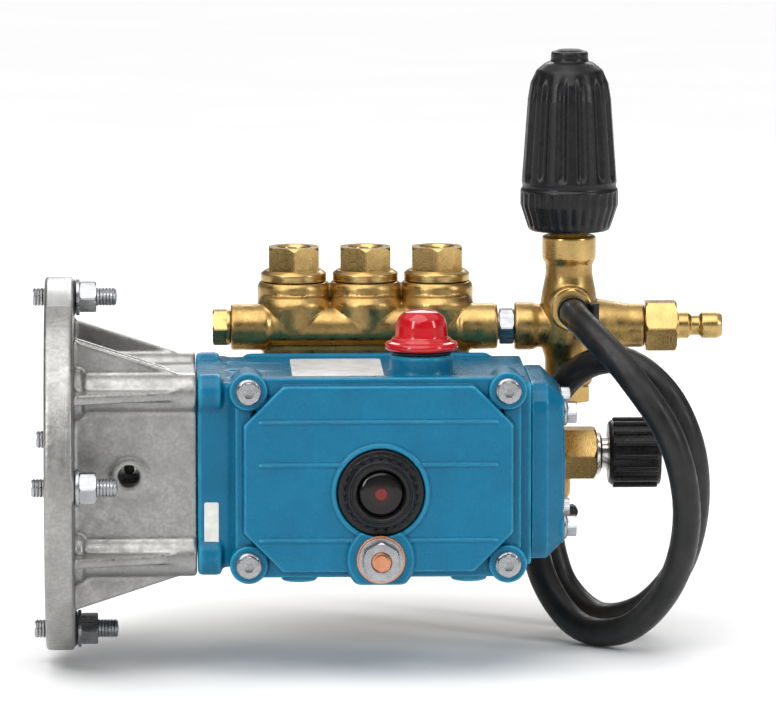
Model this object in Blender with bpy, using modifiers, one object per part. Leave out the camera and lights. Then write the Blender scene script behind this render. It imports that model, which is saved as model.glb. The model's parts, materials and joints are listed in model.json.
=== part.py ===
"""A triplex plunger pump for a pressure washer, with its drive housing, unloader and bypass hose.

Run it with: blender --background --python part.py

Frame: the origin is the centre of the engine flange's face, on the shaft axis. +X runs along the
shaft away from the engine, +Y from the rear cover to the brass head, and +Z is up.
Every size below is in millimetres. The helper functions turn them into Blender's metres.
"""

import math

import bmesh
import bpy
from mathutils import Matrix, Vector

MM = 0.001
EASY = 0.3  # gap between pieces that touch or are pressed together
RUNNING = 0.6  # gap around a turning piece
BIG = 32  # sides of a large, an ordinary and a small round piece
ROUND = 16
SMALL = 8
SMOOTH_ANGLE = math.radians(32)

# Drive end: the flange bolts to a small engine's 165.1 mm bolt circle.
FLANGE_RADIUS = 92
FLANGE_THICKNESS = 14
PILOT_RADIUS = 73
PILOT_DEPTH = 5
BOLT_CIRCLE_RADIUS = 82.55
BOLT_HOLE_RADIUS = 5.3
BARREL_START = 10
HOUSING_END = 74
HOUSING_HALF = 45
HOUSING_BORE = 38
BOSS_OFFSET = 40
BOSS_RADIUS = 10
CASE_BOLT_RADIUS = 4.5
CASE_BOLT_HEAD = (7.2, 14)  # radius and depth of the recess for a bolt's head
WEB_THICKNESS = 5
ACCESS_HOLE_X = 41
ACCESS_HOLE_RADIUS = 5.25
ENGINE_SHAFT_RADIUS = 12.7
SHAFT_START = 6
SHAFT_BORE_END = 95
HUB_RADIUS = 22
KEYWAY = (3.2, 8, 16)  # half width, and the heights it is cut between
SET_SCREW_RADIUS = 2.6
SHAFT_SEAL = (22.7, 30, 74.9, 79.6)  # inner radius, outer radius, start, end

# Crank train: three throws, 120 degrees apart.
CENTRE_X = 160
PITCH = 36
CYLINDERS = [CENTRE_X + PITCH * k for k in (-1, 0, 1)]
PHASES = [math.radians(a) for a in (90, 210, 330)]
THROW = 4
ROD_LENGTH = 38
PIN_JOURNAL_RADIUS = 15
CROSSHEAD_RADIUS = 14
CROSSHEAD_BORE = 11.2
WRIST_PIN_RADIUS = 2.7
PIN_HOLE_RADIUS = 3.1
PLUNGER_RADIUS = 7.5

# Crankcase
CASE_X = (HOUSING_END + EASY, 237)
CASE_Y = (-45, 60)
CASE_HALF_HEIGHT = 45
CAVITY_X = (98, 222)
CAVITY_FRONT = 26
CAVITY_HALF_HEIGHT = 37
DRIVE_BEARING = (20.1, 31, 80.2, 96)  # inner radius, outer radius, start, end
END_BEARING = (12.5, 26, 222.3, 236.4)
FILLER = (184, -25)
FILLER_TOP = 57
FILLER_RADIUS = 15.5
FILLER_BORE = 11.4
FEET = [(x, y) for x in (124, 207) for y in (-30, 42)]
FOOT_BOTTOM = -54
FOOT_RADIUS = 9
FOOT_HOLE_RADIUS = 3.4

# Rear cover
COVER_X = 162
COVER_HALF = (69.5, 49)
COVER_JOINT = CASE_Y[0] - EASY
PLATE_FACE = -54
PANEL_FACE = -60
SCREWS = [(COVER_X + a * 63, b * 42.5) for a in (-1, 1) for b in (1, -1)]
SCREW_EAR_RADIUS = 9.3
SCREW_EAR_FACE = PLATE_FACE - 2.5
SCREW_HOLE_RADIUS = 3.4
GAUGE = (163, -6.5)
GAUGE_SEAT_RADIUS = 21.5
GAUGE_SEAT = PANEL_FACE + 2.5
GAUGE_HOLE_RADIUS = 14
DRAIN = (163, -39)
DRAIN_BOSS_RADIUS = 16
DRAIN_HOLE_RADIUS = 6.4
DRAIN_FACE = PANEL_FACE - 2

# Brass head: discharge valves stand up, inlet valves lie in line with the plungers.
HEAD_Y = (61, 104)
UP_VALVE_Y = 84
UP_VALVE_TOP = 80
FRONT_VALVE_END = 128
VALVE_BORE = 11
DISCHARGE = (72, 58)  # y, z of the discharge gallery's axis
DISCHARGE_ENDS = (92, 226)
DISCHARGE_BORE = 8.4
INLET = (110, -12)  # y, z of the inlet gallery's axis
INLET_ENDS = (CYLINDERS[0] - 26, 240)
INLET_BORE = 10.4
PLUG_FLANGE_RADIUS = 16.5

# Unloader valve, on an upright axis
UNLOADER = (262, 72)
UNLOADER_TOP = 104
UNLOADER_BOTTOM = 28
UNLOADER_LEFT = 234.5
OUTLET_FACE = 300
BYPASS_Z = 69
BYPASS_FACE = 50
KNOB_BOTTOM = 106.5
STEM_TOP = 138

# Bypass hose
HOSE_RADIUS = 7
BARB_RADIUS = 4.4
HOSE_START = (262, 45, 69)
HOSE_END = (256, 110, -36)
HOSE_POINTS = 56

TURN = {
    "+X": Matrix.Rotation(math.pi / 2, 4, "Y"),
    "-X": Matrix.Rotation(-math.pi / 2, 4, "Y"),
    "+Y": Matrix.Rotation(-math.pi / 2, 4, "X"),
    "-Y": Matrix.Rotation(math.pi / 2, 4, "X"),
    "+Z": Matrix.Identity(4),
    "-Z": Matrix.Rotation(math.pi, 4, "X"),
}


# ---------------------------------------------------------------- modelling helpers


def clear_scene():
    for obj in list(bpy.data.objects):
        bpy.data.objects.remove(obj)


def collection(name):
    made = bpy.data.collections.new(name)
    bpy.context.scene.collection.children.link(made)
    return made


def material(name, colour, roughness, metallic):
    made = bpy.data.materials.new(name)
    made.use_nodes = True
    shader = made.node_tree.nodes["Principled BSDF"]
    shader.inputs["Base Color"].default_value = (*colour, 1)
    shader.inputs["Roughness"].default_value = roughness
    shader.inputs["Metallic"].default_value = metallic
    return made


def tool(data, at=(0, 0, 0), axis="+Z"):
    """An object that shapes a part: hidden, with its +Z turned to the axis and its origin at the point."""
    obj = bpy.data.objects.new("tool", data)
    TOOLS.objects.link(obj)
    obj.matrix_world = Matrix.Translation(Vector(at) * MM) @ TURN[axis]
    obj.hide_render = True
    obj.display_type = "WIRE"
    return obj


def mesh_from(bm):
    mesh = bpy.data.meshes.new("shape")
    bm.to_mesh(mesh)
    bm.free()
    return mesh


def turned(profile, at=(0, 0, 0), axis="+Z", steps=ROUND):
    """A turned solid. The profile is (radius, height) pairs that climb the outer side, in millimetres.
    It starts and ends on the axis, or else is a ring's outline and closes on itself."""
    bm = bmesh.new()
    points = [bm.verts.new((r * MM, 0, h * MM)) for r, h in reversed(profile)]
    pairs = list(zip(points, points[1:]))
    if profile[0][0] > 0:
        pairs.append((points[-1], points[0]))
    for a, b in pairs:
        bm.edges.new((a, b))
    obj = tool(mesh_from(bm), at, axis)
    screw = obj.modifiers.new("Turn", "SCREW")
    screw.steps = screw.render_steps = steps
    screw.use_merge_vertices = True
    screw.merge_threshold = 1e-5
    return obj


def cone(radius_1, radius_2, start, end, at=(0, 0, 0), axis="+Z", sides=ROUND, spin=0):
    """A cylinder, cone or prism from start to end along the axis."""
    bm = bmesh.new()
    place = Matrix.Translation((0, 0, (start + end) / 2 * MM)) @ Matrix.Rotation(spin, 4, "Z")
    bmesh.ops.create_cone(
        bm,
        cap_ends=True,
        segments=sides,
        radius1=radius_1 * MM,
        radius2=radius_2 * MM,
        depth=(end - start) * MM,
        matrix=place,
    )
    return tool(mesh_from(bm), at, axis)


def rod(radius, start, end, at=(0, 0, 0), axis="+Z", sides=ROUND):
    return cone(radius, radius, start, end, at, axis, sides)


def hexagon(across_flats, start, end, at=(0, 0, 0), axis="+Z", spin=0):
    corner = across_flats / 2 / math.cos(math.pi / 6)
    return cone(corner, corner, start, end, at, axis, sides=6, spin=spin)


def ring(inner, outer, start, end, at=(0, 0, 0), axis="+Z", steps=ROUND):
    return turned([(outer, start), (outer, end), (inner, end), (inner, start)], at, axis, steps)


def block(low, high, radius=0, along=None, segments=2, rim=0):
    """A box with rounded edges, all of them or those along one axis, and a chamfered rim on its +X face."""
    bm = bmesh.new()
    size = (Vector(high) - Vector(low)) * MM
    centre = (Vector(high) + Vector(low)) / 2 * MM
    bmesh.ops.create_cube(bm, size=1, matrix=Matrix.Diagonal((*size, 1)))
    if radius:
        edges = bm.edges[:]
        if along is not None:
            k = "XYZ".index(along)
            edges = [e for e in edges if abs((e.verts[0].co - e.verts[1].co)[k]) > 1e-6]
        bmesh.ops.bevel(
            bm, geom=edges, offset=radius * MM, segments=segments, profile=0.5, affect="EDGES"
        )
    if rim:
        face = max(bm.faces, key=lambda f: f.calc_center_median().x)
        bmesh.ops.bevel(bm, geom=face.edges[:], offset=rim * MM, segments=1, affect="EDGES")
    obj = tool(mesh_from(bm))
    obj.location = centre
    return obj


def wedge(outline, thickness, middle, spin=0):
    """A flat web: an outline in X and Z, this thick across Y about the middle, turned about the X axis."""
    curve = bpy.data.curves.new("web", "CURVE")
    curve.dimensions = "2D"
    curve.fill_mode = "BOTH"
    curve.extrude = thickness / 2 * MM
    spline = curve.splines.new("POLY")
    spline.points.add(len(outline) - 1)
    for point, (x, z) in zip(spline.points, outline):
        point.co = (x * MM, z * MM, 0, 1)
    spline.use_cyclic_u = True
    flat = tool(curve)
    stand = Matrix.Translation((0, middle * MM, 0)) @ Matrix.Rotation(math.pi / 2, 4, "X")
    flat.matrix_world = Matrix.Rotation(spin, 4, "X") @ stand
    return as_mesh(flat)


def as_mesh(curve_object):
    """The same shape as a welded mesh object, which a Boolean can take."""
    bpy.context.view_layer.update()
    graph = bpy.context.evaluated_depsgraph_get()
    mesh = bpy.data.meshes.new_from_object(curve_object.evaluated_get(graph))
    bm = bmesh.new()
    bm.from_mesh(mesh)
    bmesh.ops.remove_doubles(bm, verts=bm.verts, dist=1e-6)
    bmesh.ops.recalc_face_normals(bm, faces=bm.faces)
    bm.to_mesh(mesh)
    bm.free()
    obj = tool(mesh)
    obj.matrix_world = curve_object.matrix_world
    bpy.data.objects.remove(curve_object)
    return obj


def part(name, look, base, joined=(), cut=()):
    """Makes the base a part: joins and cuts it with the tools, and settles the result as its mesh."""
    for operation, others in (("UNION", joined), ("DIFFERENCE", cut)):
        for other in others:
            step = base.modifiers.new(operation, "BOOLEAN")
            step.operation = operation
            step.object = other
    bpy.context.view_layer.update()
    graph = bpy.context.evaluated_depsgraph_get()
    mesh = bpy.data.meshes.new_from_object(base.evaluated_get(graph))
    mesh.name = name
    mesh.materials.clear()
    mesh.materials.append(look)
    mesh.shade_smooth()
    mesh.set_sharp_from_angle(angle=SMOOTH_ANGLE)
    base.modifiers.clear()
    base.data = mesh
    base.name = name
    base.hide_render = False
    base.display_type = "TEXTURED"
    TOOLS.objects.unlink(base)
    PARTS.objects.link(base)
    return base


# ---------------------------------------------------------------- the drive end


def bell_housing():
    """The cast housing between engine and crankcase: a round flange, a square barrel and four bolt columns."""
    corners = [(a * BOSS_OFFSET, b * BOSS_OFFSET) for a in (-1, 1) for b in (-1, 1)]
    columns = [
        rod(BOSS_RADIUS, BARREL_START, HOUSING_END, (0, y, z), "+X", SMALL) for y, z in corners
    ]
    web_end = HOUSING_END - 3
    web = [(BARREL_START, 38), (BARREL_START, 68), (web_end, 48), (web_end, 38)]
    webs = [
        wedge(web, WEB_THICKNESS, side * BOSS_OFFSET, quarter * math.pi / 2)
        for side in (-1, 1)
        for quarter in range(4)
    ]
    barrel = block(
        (BARREL_START, -HOUSING_HALF, -HOUSING_HALF),
        (HOUSING_END, HOUSING_HALF, HOUSING_HALF),
        8,
        "X",
    )
    compass = [(BOLT_CIRCLE_RADIUS, 0), (-BOLT_CIRCLE_RADIUS, 0)]
    compass += [(b, a) for a, b in compass]
    cuts = [
        rod(PILOT_RADIUS, -1, PILOT_DEPTH, axis="+X", sides=BIG),
        rod(HOUSING_BORE, -2, HOUSING_END + 1, axis="+X"),
        rod(ACCESS_HOLE_RADIUS, 35, 60, (ACCESS_HOLE_X, 0, 0), "-Y", SMALL),
    ]
    cuts += [rod(BOLT_HOLE_RADIUS, -1, 20, (0, y, z), "+X", SMALL) for y, z in compass]
    head_radius, head_depth = CASE_BOLT_HEAD
    cuts += [rod(head_radius, 1, head_depth, (0, y, z), "+X", SMALL) for y, z in corners]
    cuts += [rod(CASE_BOLT_RADIUS, 1, HOUSING_END + 1, (0, y, z), "+X", SMALL) for y, z in corners]
    flange = rod(FLANGE_RADIUS, 0, FLANGE_THICKNESS, axis="+X", sides=BIG)
    part("bell_housing", ALUMINIUM, flange, [barrel, *columns, *webs], cuts)


def crankshaft():
    """A hollow keyed drive end, three eccentric journals and a solid tail."""
    inner, _, start, end = DRIVE_BEARING
    bore = ENGINE_SHAFT_RADIUS + 0.1
    tail = END_BEARING[0] - RUNNING
    profile = [
        (0, SHAFT_START),
        (HUB_RADIUS, SHAFT_START),
        (HUB_RADIUS, start - EASY),
        (inner - RUNNING, start - EASY),
        (inner - RUNNING, end + EASY),
        (22.5, end + EASY),
        (22.5, 104),
        (10.5, 104),
        (10.5, 214),
        (14.5, 214),
        (14.5, END_BEARING[2] - EASY),
        (tail, END_BEARING[2] - EASY),
        (tail, END_BEARING[3]),
        (0, END_BEARING[3]),
    ]
    throws = [
        rod(PIN_JOURNAL_RADIUS, x - 9, x + 9, (0, *crank_pin(phase)), "+X")
        for x, phase in zip(CYLINDERS, PHASES)
    ]
    shaft_bore = rod(bore, SHAFT_START - 1, SHAFT_BORE_END, axis="+X")
    half_width, floor, roof = KEYWAY
    keyway = block((SHAFT_START - 1, -half_width, floor), (SHAFT_BORE_END - 5, half_width, roof))
    set_screw_hole = rod(SET_SCREW_RADIUS, 10, 24, (ACCESS_HOLE_X, 0, 0), "-Y", SMALL)
    shaft = turned(profile, axis="+X")
    part("crankshaft", STEEL, shaft, throws, [shaft_bore, keyway, set_screw_hole])


def crank_pin(phase):
    """(y, z) of a throw's centre."""
    return THROW * math.cos(phase), THROW * math.sin(phase)


def bearing(name, inner, outer, start, end):
    part(name, STEEL, ring(inner, outer, start, end, axis="+X"))


def connecting_rods():
    for number, (x, phase) in enumerate(zip(CYLINDERS, PHASES), 1):
        y, z = crank_pin(phase)
        small_end = y + ROD_LENGTH
        big_end = ring(PIN_JOURNAL_RADIUS + 0.4, 20.5, -8, 8, (x, y, z), "+X")
        shank = block((x - 4, y + 17.5, z - 3.5), (x + 4, small_end - 3.8, z + 3.5))
        eye = rod(5, -4.5, 4.5, (x, small_end, z), "+X", SMALL)
        hole = rod(PIN_HOLE_RADIUS, -8, 8, (x, small_end, z), "+X", SMALL)
        part(f"connecting_rod_{number}", BRONZE, big_end, [shank, eye], [hole])
        pin = rod(WRIST_PIN_RADIUS, -7.5, 7.5, (x, small_end, z), "+X", SMALL)
        part(f"wrist_pin_{number}", STEEL, pin)


def plungers():
    """A hollow crosshead that holds the wrist pin, and the ceramic plunger on its nose."""
    for number, (x, phase) in enumerate(zip(CYLINDERS, PHASES), 1):
        pin_y = crank_pin(phase)[0] + ROD_LENGTH
        at = (x, pin_y, 0)
        profile = [
            (CROSSHEAD_RADIUS, -8),
            (CROSSHEAD_RADIUS, 17),
            (6, 17),
            (6, 20.7),
            (0, 20.7),
            (0, 14),
            (CROSSHEAD_BORE, 14),
            (CROSSHEAD_BORE, -8),
        ]
        pin_hole = rod(PIN_HOLE_RADIUS, -16, 16, at, "+X", SMALL)
        part(f"crosshead_{number}", STEEL, turned(profile, at, "+Y"), cut=[pin_hole])
        part(f"ceramic_plunger_{number}", CERAMIC, rod(PLUNGER_RADIUS, 21, 52, at, "+Y"))
        packing = ring(7.9, 13.5, 61.5, 79, (x, 0, 0), "+Y")
        part(f"plunger_packing_{number}", RUBBER, packing)


# ---------------------------------------------------------------- the crankcase


def crankcase():
    low_x, high_x = CASE_X
    low_y, high_y = CASE_Y
    half = CASE_HALF_HEIGHT
    case = block((low_x, low_y, -half), (high_x, high_y, half), 3, "X")
    bosses = [rod(8, -low_y - 24, -low_y, (x, 0, z), "-Y", SMALL) for x, z in SCREWS]
    bosses += [rod(FOOT_RADIUS, FOOT_BOTTOM, -40, (x, y, 0), sides=SMALL) for x, y in FEET]
    bosses += [rod(FILLER_RADIUS, 40, FILLER_TOP, (*FILLER, 0))]
    cavity = block(
        (CAVITY_X[0], low_y - 1, -CAVITY_HALF_HEIGHT),
        (CAVITY_X[1], CAVITY_FRONT, CAVITY_HALF_HEIGHT),
        6,
        "Y",
    )
    seal_seat = rod(30.3, HOUSING_END - 1, DRIVE_BEARING[2] + 1, axis="+X")
    drive_seat = rod(
        DRIVE_BEARING[1] + EASY, DRIVE_BEARING[2] - EASY, CAVITY_X[0] + 1, axis="+X"
    )
    end_seat = rod(END_BEARING[1] + EASY, CAVITY_X[1] - 1, high_x + 1, axis="+X")
    cuts = [cavity, seal_seat, drive_seat, end_seat]
    guide = CROSSHEAD_RADIUS + 0.4
    cuts += [rod(guide, CAVITY_FRONT - 1, high_y + 1, (x, 0, 0), "+Y") for x in CYLINDERS]
    cuts += [rod(3.3, -low_y - 20, -low_y + 1, (x, 0, z), "-Y", SMALL) for x, z in SCREWS]
    cuts += [
        rod(FOOT_HOLE_RADIUS, FOOT_BOTTOM - 1, FOOT_BOTTOM + 10, (x, y, 0), sides=SMALL)
        for x, y in FEET
    ]
    cuts += [rod(FILLER_BORE, 30, FILLER_TOP + 1, (*FILLER, 0))]
    part("crankcase", BLUE, case, bosses, cuts)


def rear_cover():
    """A flat plate with four screw ears and a raised eight-sided panel."""
    half_x, half_z = COVER_HALF
    plate = block(
        (COVER_X - half_x, PLATE_FACE, -half_z), (COVER_X + half_x, COVER_JOINT, half_z), 8, "Y"
    )
    panel = block(
        (COVER_X - 65.5, PANEL_FACE, -45.5), (COVER_X + 65.5, PLATE_FACE + 1, 45.5), 19, "Y", 1
    )
    ears = [
        rod(SCREW_EAR_RADIUS, -COVER_JOINT, -SCREW_EAR_FACE, (x, 0, z), "-Y") for x, z in SCREWS
    ]
    drain_at = (DRAIN[0], 0, DRAIN[1])
    drain_boss = rod(DRAIN_BOSS_RADIUS, -COVER_JOINT, -DRAIN_FACE, drain_at, "-Y")
    inside = block((100, PANEL_FACE + 5, -35), (224, COVER_JOINT + 1, 35), 6, "Y")
    gauge_at = (GAUGE[0], 0, GAUGE[1])
    cuts = [
        inside,
        rod(GAUGE_SEAT_RADIUS, -GAUGE_SEAT, -PANEL_FACE + 4, gauge_at, "-Y"),
        rod(GAUGE_HOLE_RADIUS, 40, 70, gauge_at, "-Y"),
        rod(DRAIN_HOLE_RADIUS, 40, 70, drain_at, "-Y"),
        block((DRAIN[0] - 20, -70, -60), (DRAIN[0] + 20, -40, -half_z - 2)),
    ]
    cuts += [rod(SCREW_HOLE_RADIUS, 40, 60, (x, 0, z), "-Y", SMALL) for x, z in SCREWS]
    part("rear_cover", BLUE, plate, [panel, drain_boss, *ears], cuts)


def cover_fittings():
    """The cover's screws, its oil gauge and its drain plug."""
    seat = -SCREW_EAR_FACE + EASY
    shank = [(0, 28), (3, 28), (3, seat), (6.4, seat), (6.4, seat + 1.4), (0, seat + 1.4)]
    for number, (x, z) in enumerate(SCREWS, 1):
        at = (x, 0, z)
        head = hexagon(10, seat + 1, seat + 7, at, "-Y")
        part(f"cover_screw_{number}", STEEL, turned(shank, at, "-Y", SMALL), [head])
    face = -GAUGE_SEAT + EASY
    at = (GAUGE[0], 0, GAUGE[1])
    bezel = [
        (0, 46),
        (13.6, 46),
        (13.6, face),
        (18, face),
        (18, face + 6),
        (15.5, face + 9),
        (11, face + 9),
        (11, face + 5),
        (0, face + 5),
    ]
    part("sight_gauge", BLACK, turned(bezel, at, "-Y"))
    lens = [(0, face + 5.3), (10.7, face + 5.3), (10.7, face + 8), (7, face + 9.6), (0, face + 10)]
    part("sight_lens", CLEAR, turned(lens, at, "-Y"))
    at = (DRAIN[0], 0, DRAIN[1])
    seat = -DRAIN_FACE + EASY
    shank = [(0, 50), (6, 50), (6, seat), (11, seat), (11, seat + 2), (0, seat + 2)]
    head = hexagon(17, seat + 1.5, seat + 9, at, "-Y")
    part("drain_plug", STEEL, turned(shank, at, "-Y"), [head])


def filler_cap():
    at = (*FILLER, 0)
    seal_top = FILLER_TOP + EASY + 1.6
    seal = ring(11.6, 15, FILLER_TOP + EASY, seal_top, at)
    part("filler_cap_seal", RUBBER, seal)
    rim = seal_top + EASY
    profile = [
        (0, 46),
        (11, 46),
        (11, rim),
        (18, rim),
        (18, rim + 3),
        (12.6, rim + 5),
        (12.2, rim + 14),
        (8.5, rim + 18.5),
        (0, rim + 20),
    ]
    part("oil_filler_cap", RED, turned(profile, at))


def bearing_cover():
    low = (CASE_X[1] + EASY, -43, -44)
    cover = block(low, (253, 43, 44), 14, "X", rim=8)
    part("bearing_cover", BLUE, cover)


# ---------------------------------------------------------------- the brass head


def manifold_head():
    low_y, high_y = HEAD_Y
    left, right = CYLINDERS[0] - 22, CYLINDERS[2] + 22
    head = block((left, low_y, -26), (right, high_y, 40), 4)
    gallery_left, gallery_right = DISCHARGE_ENDS
    inlet_left, inlet_right = INLET_ENDS
    joined = [rod(18.3, 20, UP_VALVE_TOP, (x, UP_VALVE_Y, 0)) for x in CYLINDERS]
    joined += [rod(17.5, high_y - 9, FRONT_VALVE_END, (x, 0, 0), "+Y") for x in CYLINDERS]
    joined += [
        rod(9, gallery_left + 5, gallery_right - 5, (0, *DISCHARGE), "+X"),
        rod(11.5, gallery_left, gallery_left + 20, (0, *DISCHARGE), "+X"),
        rod(11.5, gallery_right - 20, gallery_right, (0, *DISCHARGE), "+X"),
        rod(14.5, inlet_left, inlet_right, (0, *INLET), "+X"),
    ]
    cuts = []
    for x in CYLINDERS:
        cuts += [
            rod(VALVE_BORE, 20, UP_VALVE_TOP + 1, (x, UP_VALVE_Y, 0)),
            rod(7, 2, 21, (x, UP_VALVE_Y, 0), sides=SMALL),
            rod(13.8, low_y - 1, 80, (x, 0, 0), "+Y"),
            rod(8.6, 79, 101, (x, 0, 0), "+Y"),
            rod(6.5, 100, 105, (x, 0, 0), "+Y", SMALL),
            rod(VALVE_BORE, 104, FRONT_VALVE_END + 1, (x, 0, 0), "+Y"),
        ]
    cuts += [
        rod(6, gallery_left - 1, gallery_right + 1, (0, *DISCHARGE), "+X", SMALL),
        rod(DISCHARGE_BORE, gallery_left - 1, gallery_left + 12, (0, *DISCHARGE), "+X"),
        rod(DISCHARGE_BORE, gallery_right - 12, gallery_right + 1, (0, *DISCHARGE), "+X"),
        rod(8.5, inlet_left - 1, inlet_right + 1, (0, *INLET), "+X", SMALL),
        rod(INLET_BORE, inlet_left - 1, inlet_left + 10, (0, *INLET), "+X"),
        rod(INLET_BORE, inlet_right - 12, inlet_right + 1, (0, *INLET), "+X"),
    ]
    part("manifold_head", BRASS, head, joined, cuts)


def valves():
    """Each valve is a poppet on its seat, held in by a threaded hexagon plug."""
    for number, x in enumerate(CYLINDERS, 1):
        up = (x, UP_VALVE_Y, 0)
        front = (x, 0, 0)
        poppet = [(0, 20.3), (9.5, 20.3), (9.5, 23), (2.5, 24.5), (2.5, 36), (0, 36)]
        part(f"discharge_valve_{number}", STEEL, turned(poppet, up, steps=SMALL))
        poppet = [(0, 97.9), (8, 97.9), (8, 100.7), (2.2, 100.7), (2.2, 113), (0, 113)]
        part(f"inlet_valve_{number}", STEEL, turned(poppet, front, "+Y", SMALL))
        valve_plug(f"discharge_valve_plug_{number}", up, "+Z", UP_VALVE_TOP, 12)
        valve_plug(f"inlet_valve_plug_{number}", front, "+Y", FRONT_VALVE_END, 9)


def valve_plug(name, at, axis, face, depth):
    seat = face + EASY
    profile = [
        (0, face - depth),
        (VALVE_BORE - 0.4, face - depth),
        (VALVE_BORE - 0.4, seat),
        (PLUG_FLANGE_RADIUS, seat),
        (PLUG_FLANGE_RADIUS, seat + 5),
        (0, seat + 5),
    ]
    body = turned(profile, at, axis)
    head = hexagon(25, seat + 4, seat + 17, at, axis)
    socket = rod(7, seat + 12, seat + 18, at, axis, SMALL)
    part(name, BRASS, body, [head], [socket])


def gallery_plugs():
    at = (DISCHARGE_ENDS[0], *DISCHARGE)
    plug = rod(DISCHARGE_BORE - 0.4, -8, 10, at, "+X")
    part("discharge_gallery_plug", BRASS, plug, [hexagon(17, -9, -EASY, at, "+X")])
    at = (INLET_ENDS[0], *INLET)
    plug = rod(INLET_BORE - 0.4, -3, 5, at, "+X")
    part("inlet_gallery_plug", BRASS, plug, [hexagon(22, -10, -EASY, at, "+X")])


# ---------------------------------------------------------------- the unloader and outlet


def discharge_nipple():
    axis_point = (0, *DISCHARGE)
    start, end = DISCHARGE_ENDS[1] - 9, 243
    nipple = rod(DISCHARGE_BORE - 0.4, start, end, axis_point, "+X")
    nut = hexagon(17, DISCHARGE_ENDS[1] + 1, UNLOADER_LEFT - 0.5, axis_point, "+X")
    bore = rod(4.5, start - 1, end + 1, axis_point, "+X")
    part("discharge_nipple", STEEL, nipple, [nut], [bore])


def unloader_body():
    """An upright barrel with an inlet boss on the left, a tapered outlet on the right and a bypass boss."""
    at = (*UNLOADER, 0)
    gallery = (0, *DISCHARGE)
    bypass = (UNLOADER[0], 0, BYPASS_Z)
    profile = [
        (0, UNLOADER_BOTTOM),
        (12, UNLOADER_BOTTOM),
        (12, 44),
        (14, 50),
        (14, 78),
        (12, 84),
        (12, 91),
        (13.5, 92),
        (13.5, UNLOADER_TOP),
        (11, UNLOADER_TOP),
        (11, 119),
        (0, 119),
    ]
    joined = [
        rod(12, UNLOADER_LEFT, UNLOADER[0], gallery, "+X"),
        cone(14, 11, UNLOADER[0] + 4, OUTLET_FACE, gallery, "+X"),
        rod(11, -UNLOADER[1], -BYPASS_FACE, bypass, "-Y"),
    ]
    cuts = [
        rod(8, 41, 120, at),
        rod(9, UNLOADER_BOTTOM - 1, 42, at),
        rod(DISCHARGE_BORE, UNLOADER_LEFT - 1.5, 245, gallery, "+X"),
        rod(4, 240, OUTLET_FACE - 1, gallery, "+X", SMALL),
        rod(DISCHARGE_BORE, OUTLET_FACE - 11, OUTLET_FACE + 1, gallery, "+X"),
        rod(7.4, -58, -BYPASS_FACE + 1, bypass, "-Y"),
        rod(3.5, -UNLOADER[1], -BYPASS_FACE + 1, bypass, "-Y", SMALL),
    ]
    part("unloader_body", BRASS, turned(profile, at), joined, cuts)


def unloader_parts():
    at = (*UNLOADER, 0)
    plug = rod(8.6, 27, 39, at)
    part("unloader_end_plug", BRASS, plug, [hexagon(20, 20, UNLOADER_BOTTOM - EASY, at)])
    piston = [(0, 43), (4, 43), (4, 50), (7.6, 50), (7.6, 60), (3, 60), (3, 66), (0, 66)]
    part("unloader_piston", STEEL, turned(piston, at))
    part("unloader_spring", STEEL, coil(5.6, 1.1, 62.5, 99.5, 5, at))
    seat = [(0, 101), (7.5, 101), (7.5, 105), (3.5, 105), (3.5, STEM_TOP), (0, STEM_TOP)]
    part("unloader_spring_seat", STEEL, turned(seat, at))
    knob()


def coil(radius, wire, start, end, turns, at):
    """A compression spring: a helix whose points a loop works out."""
    curve = bpy.data.curves.new("coil", "CURVE")
    curve.dimensions = "3D"
    curve.bevel_depth = wire * MM
    curve.bevel_resolution = 1
    curve.use_fill_caps = True
    count = 8 * turns
    spline = curve.splines.new("POLY")
    spline.points.add(count)
    for k, point in enumerate(spline.points):
        angle = 2 * math.pi * turns * k / count
        height = start + wire + (end - start - 2 * wire) * k / count
        x, y = radius * math.cos(angle), radius * math.sin(angle)
        point.co = (x * MM, y * MM, height * MM, 1)
    return as_mesh(tool(curve, at))


def knob():
    """The black pressure knob: a sleeve with a wide skirt, rounded shoulders and a small round top."""
    at = (*UNLOADER, 0)
    low = KNOB_BOTTOM
    profile = [
        (11.8, low),
        (20.5, low),
        (24.5, low + 12),
        (24.5, low + 22),
        (23.3, low + 24),
        (20.6, low + 68),
        (18.6, low + 78),
        (13.5, low + 84),
        (9.4, low + 86),
        (9.4, low + 90),
        (0, low + 90),
        (0, low + 30),
        (11.8, low + 30),
    ]
    stem_hole = rod(3.9, low + 20, STEM_TOP + 1, at, sides=SMALL)
    part("unloader_knob", BLACK, turned(profile, at), cut=[stem_hole])


def outlet_plug():
    """The outlet: a hexagon adapter with a quick-connect nose."""
    at = (0, *DISCHARGE)
    nose = [
        (0, 290),
        (8, 290),
        (8, 302),
        (6.6, 315),
        (6.6, 322),
        (5, 323.5),
        (5, 327.5),
        (6.6, 329),
        (6.6, 337),
        (5.6, 339),
        (0, 339),
    ]
    nut = hexagon(24, OUTLET_FACE + EASY, 316, at, "+X")
    bore = rod(3.5, 289, 340, at, "+X", SMALL)
    part("outlet_plug", BRASS, turned(nose, at, "+X"), [nut], [bore])


# ---------------------------------------------------------------- the inlet side and bypass hose


def bypass_barb():
    x, y, z = HOSE_START
    at = (x, 0, z)
    shank = [
        (0, -57),
        (7, -57),
        (7, -y - EASY),
        (BARB_RADIUS, -y - EASY),
        (BARB_RADIUS, -y + 11),
        (3.6, -y + 13),
        (0, -y + 13),
    ]
    nut = hexagon(19, -BYPASS_FACE + EASY, -y - EASY, at, "-Y")
    bore = rod(2.4, -58, -y + 14, at, "-Y", SMALL)
    part("bypass_barb", BRASS, turned(shank, at, "-Y"), [nut], [bore])


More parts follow.
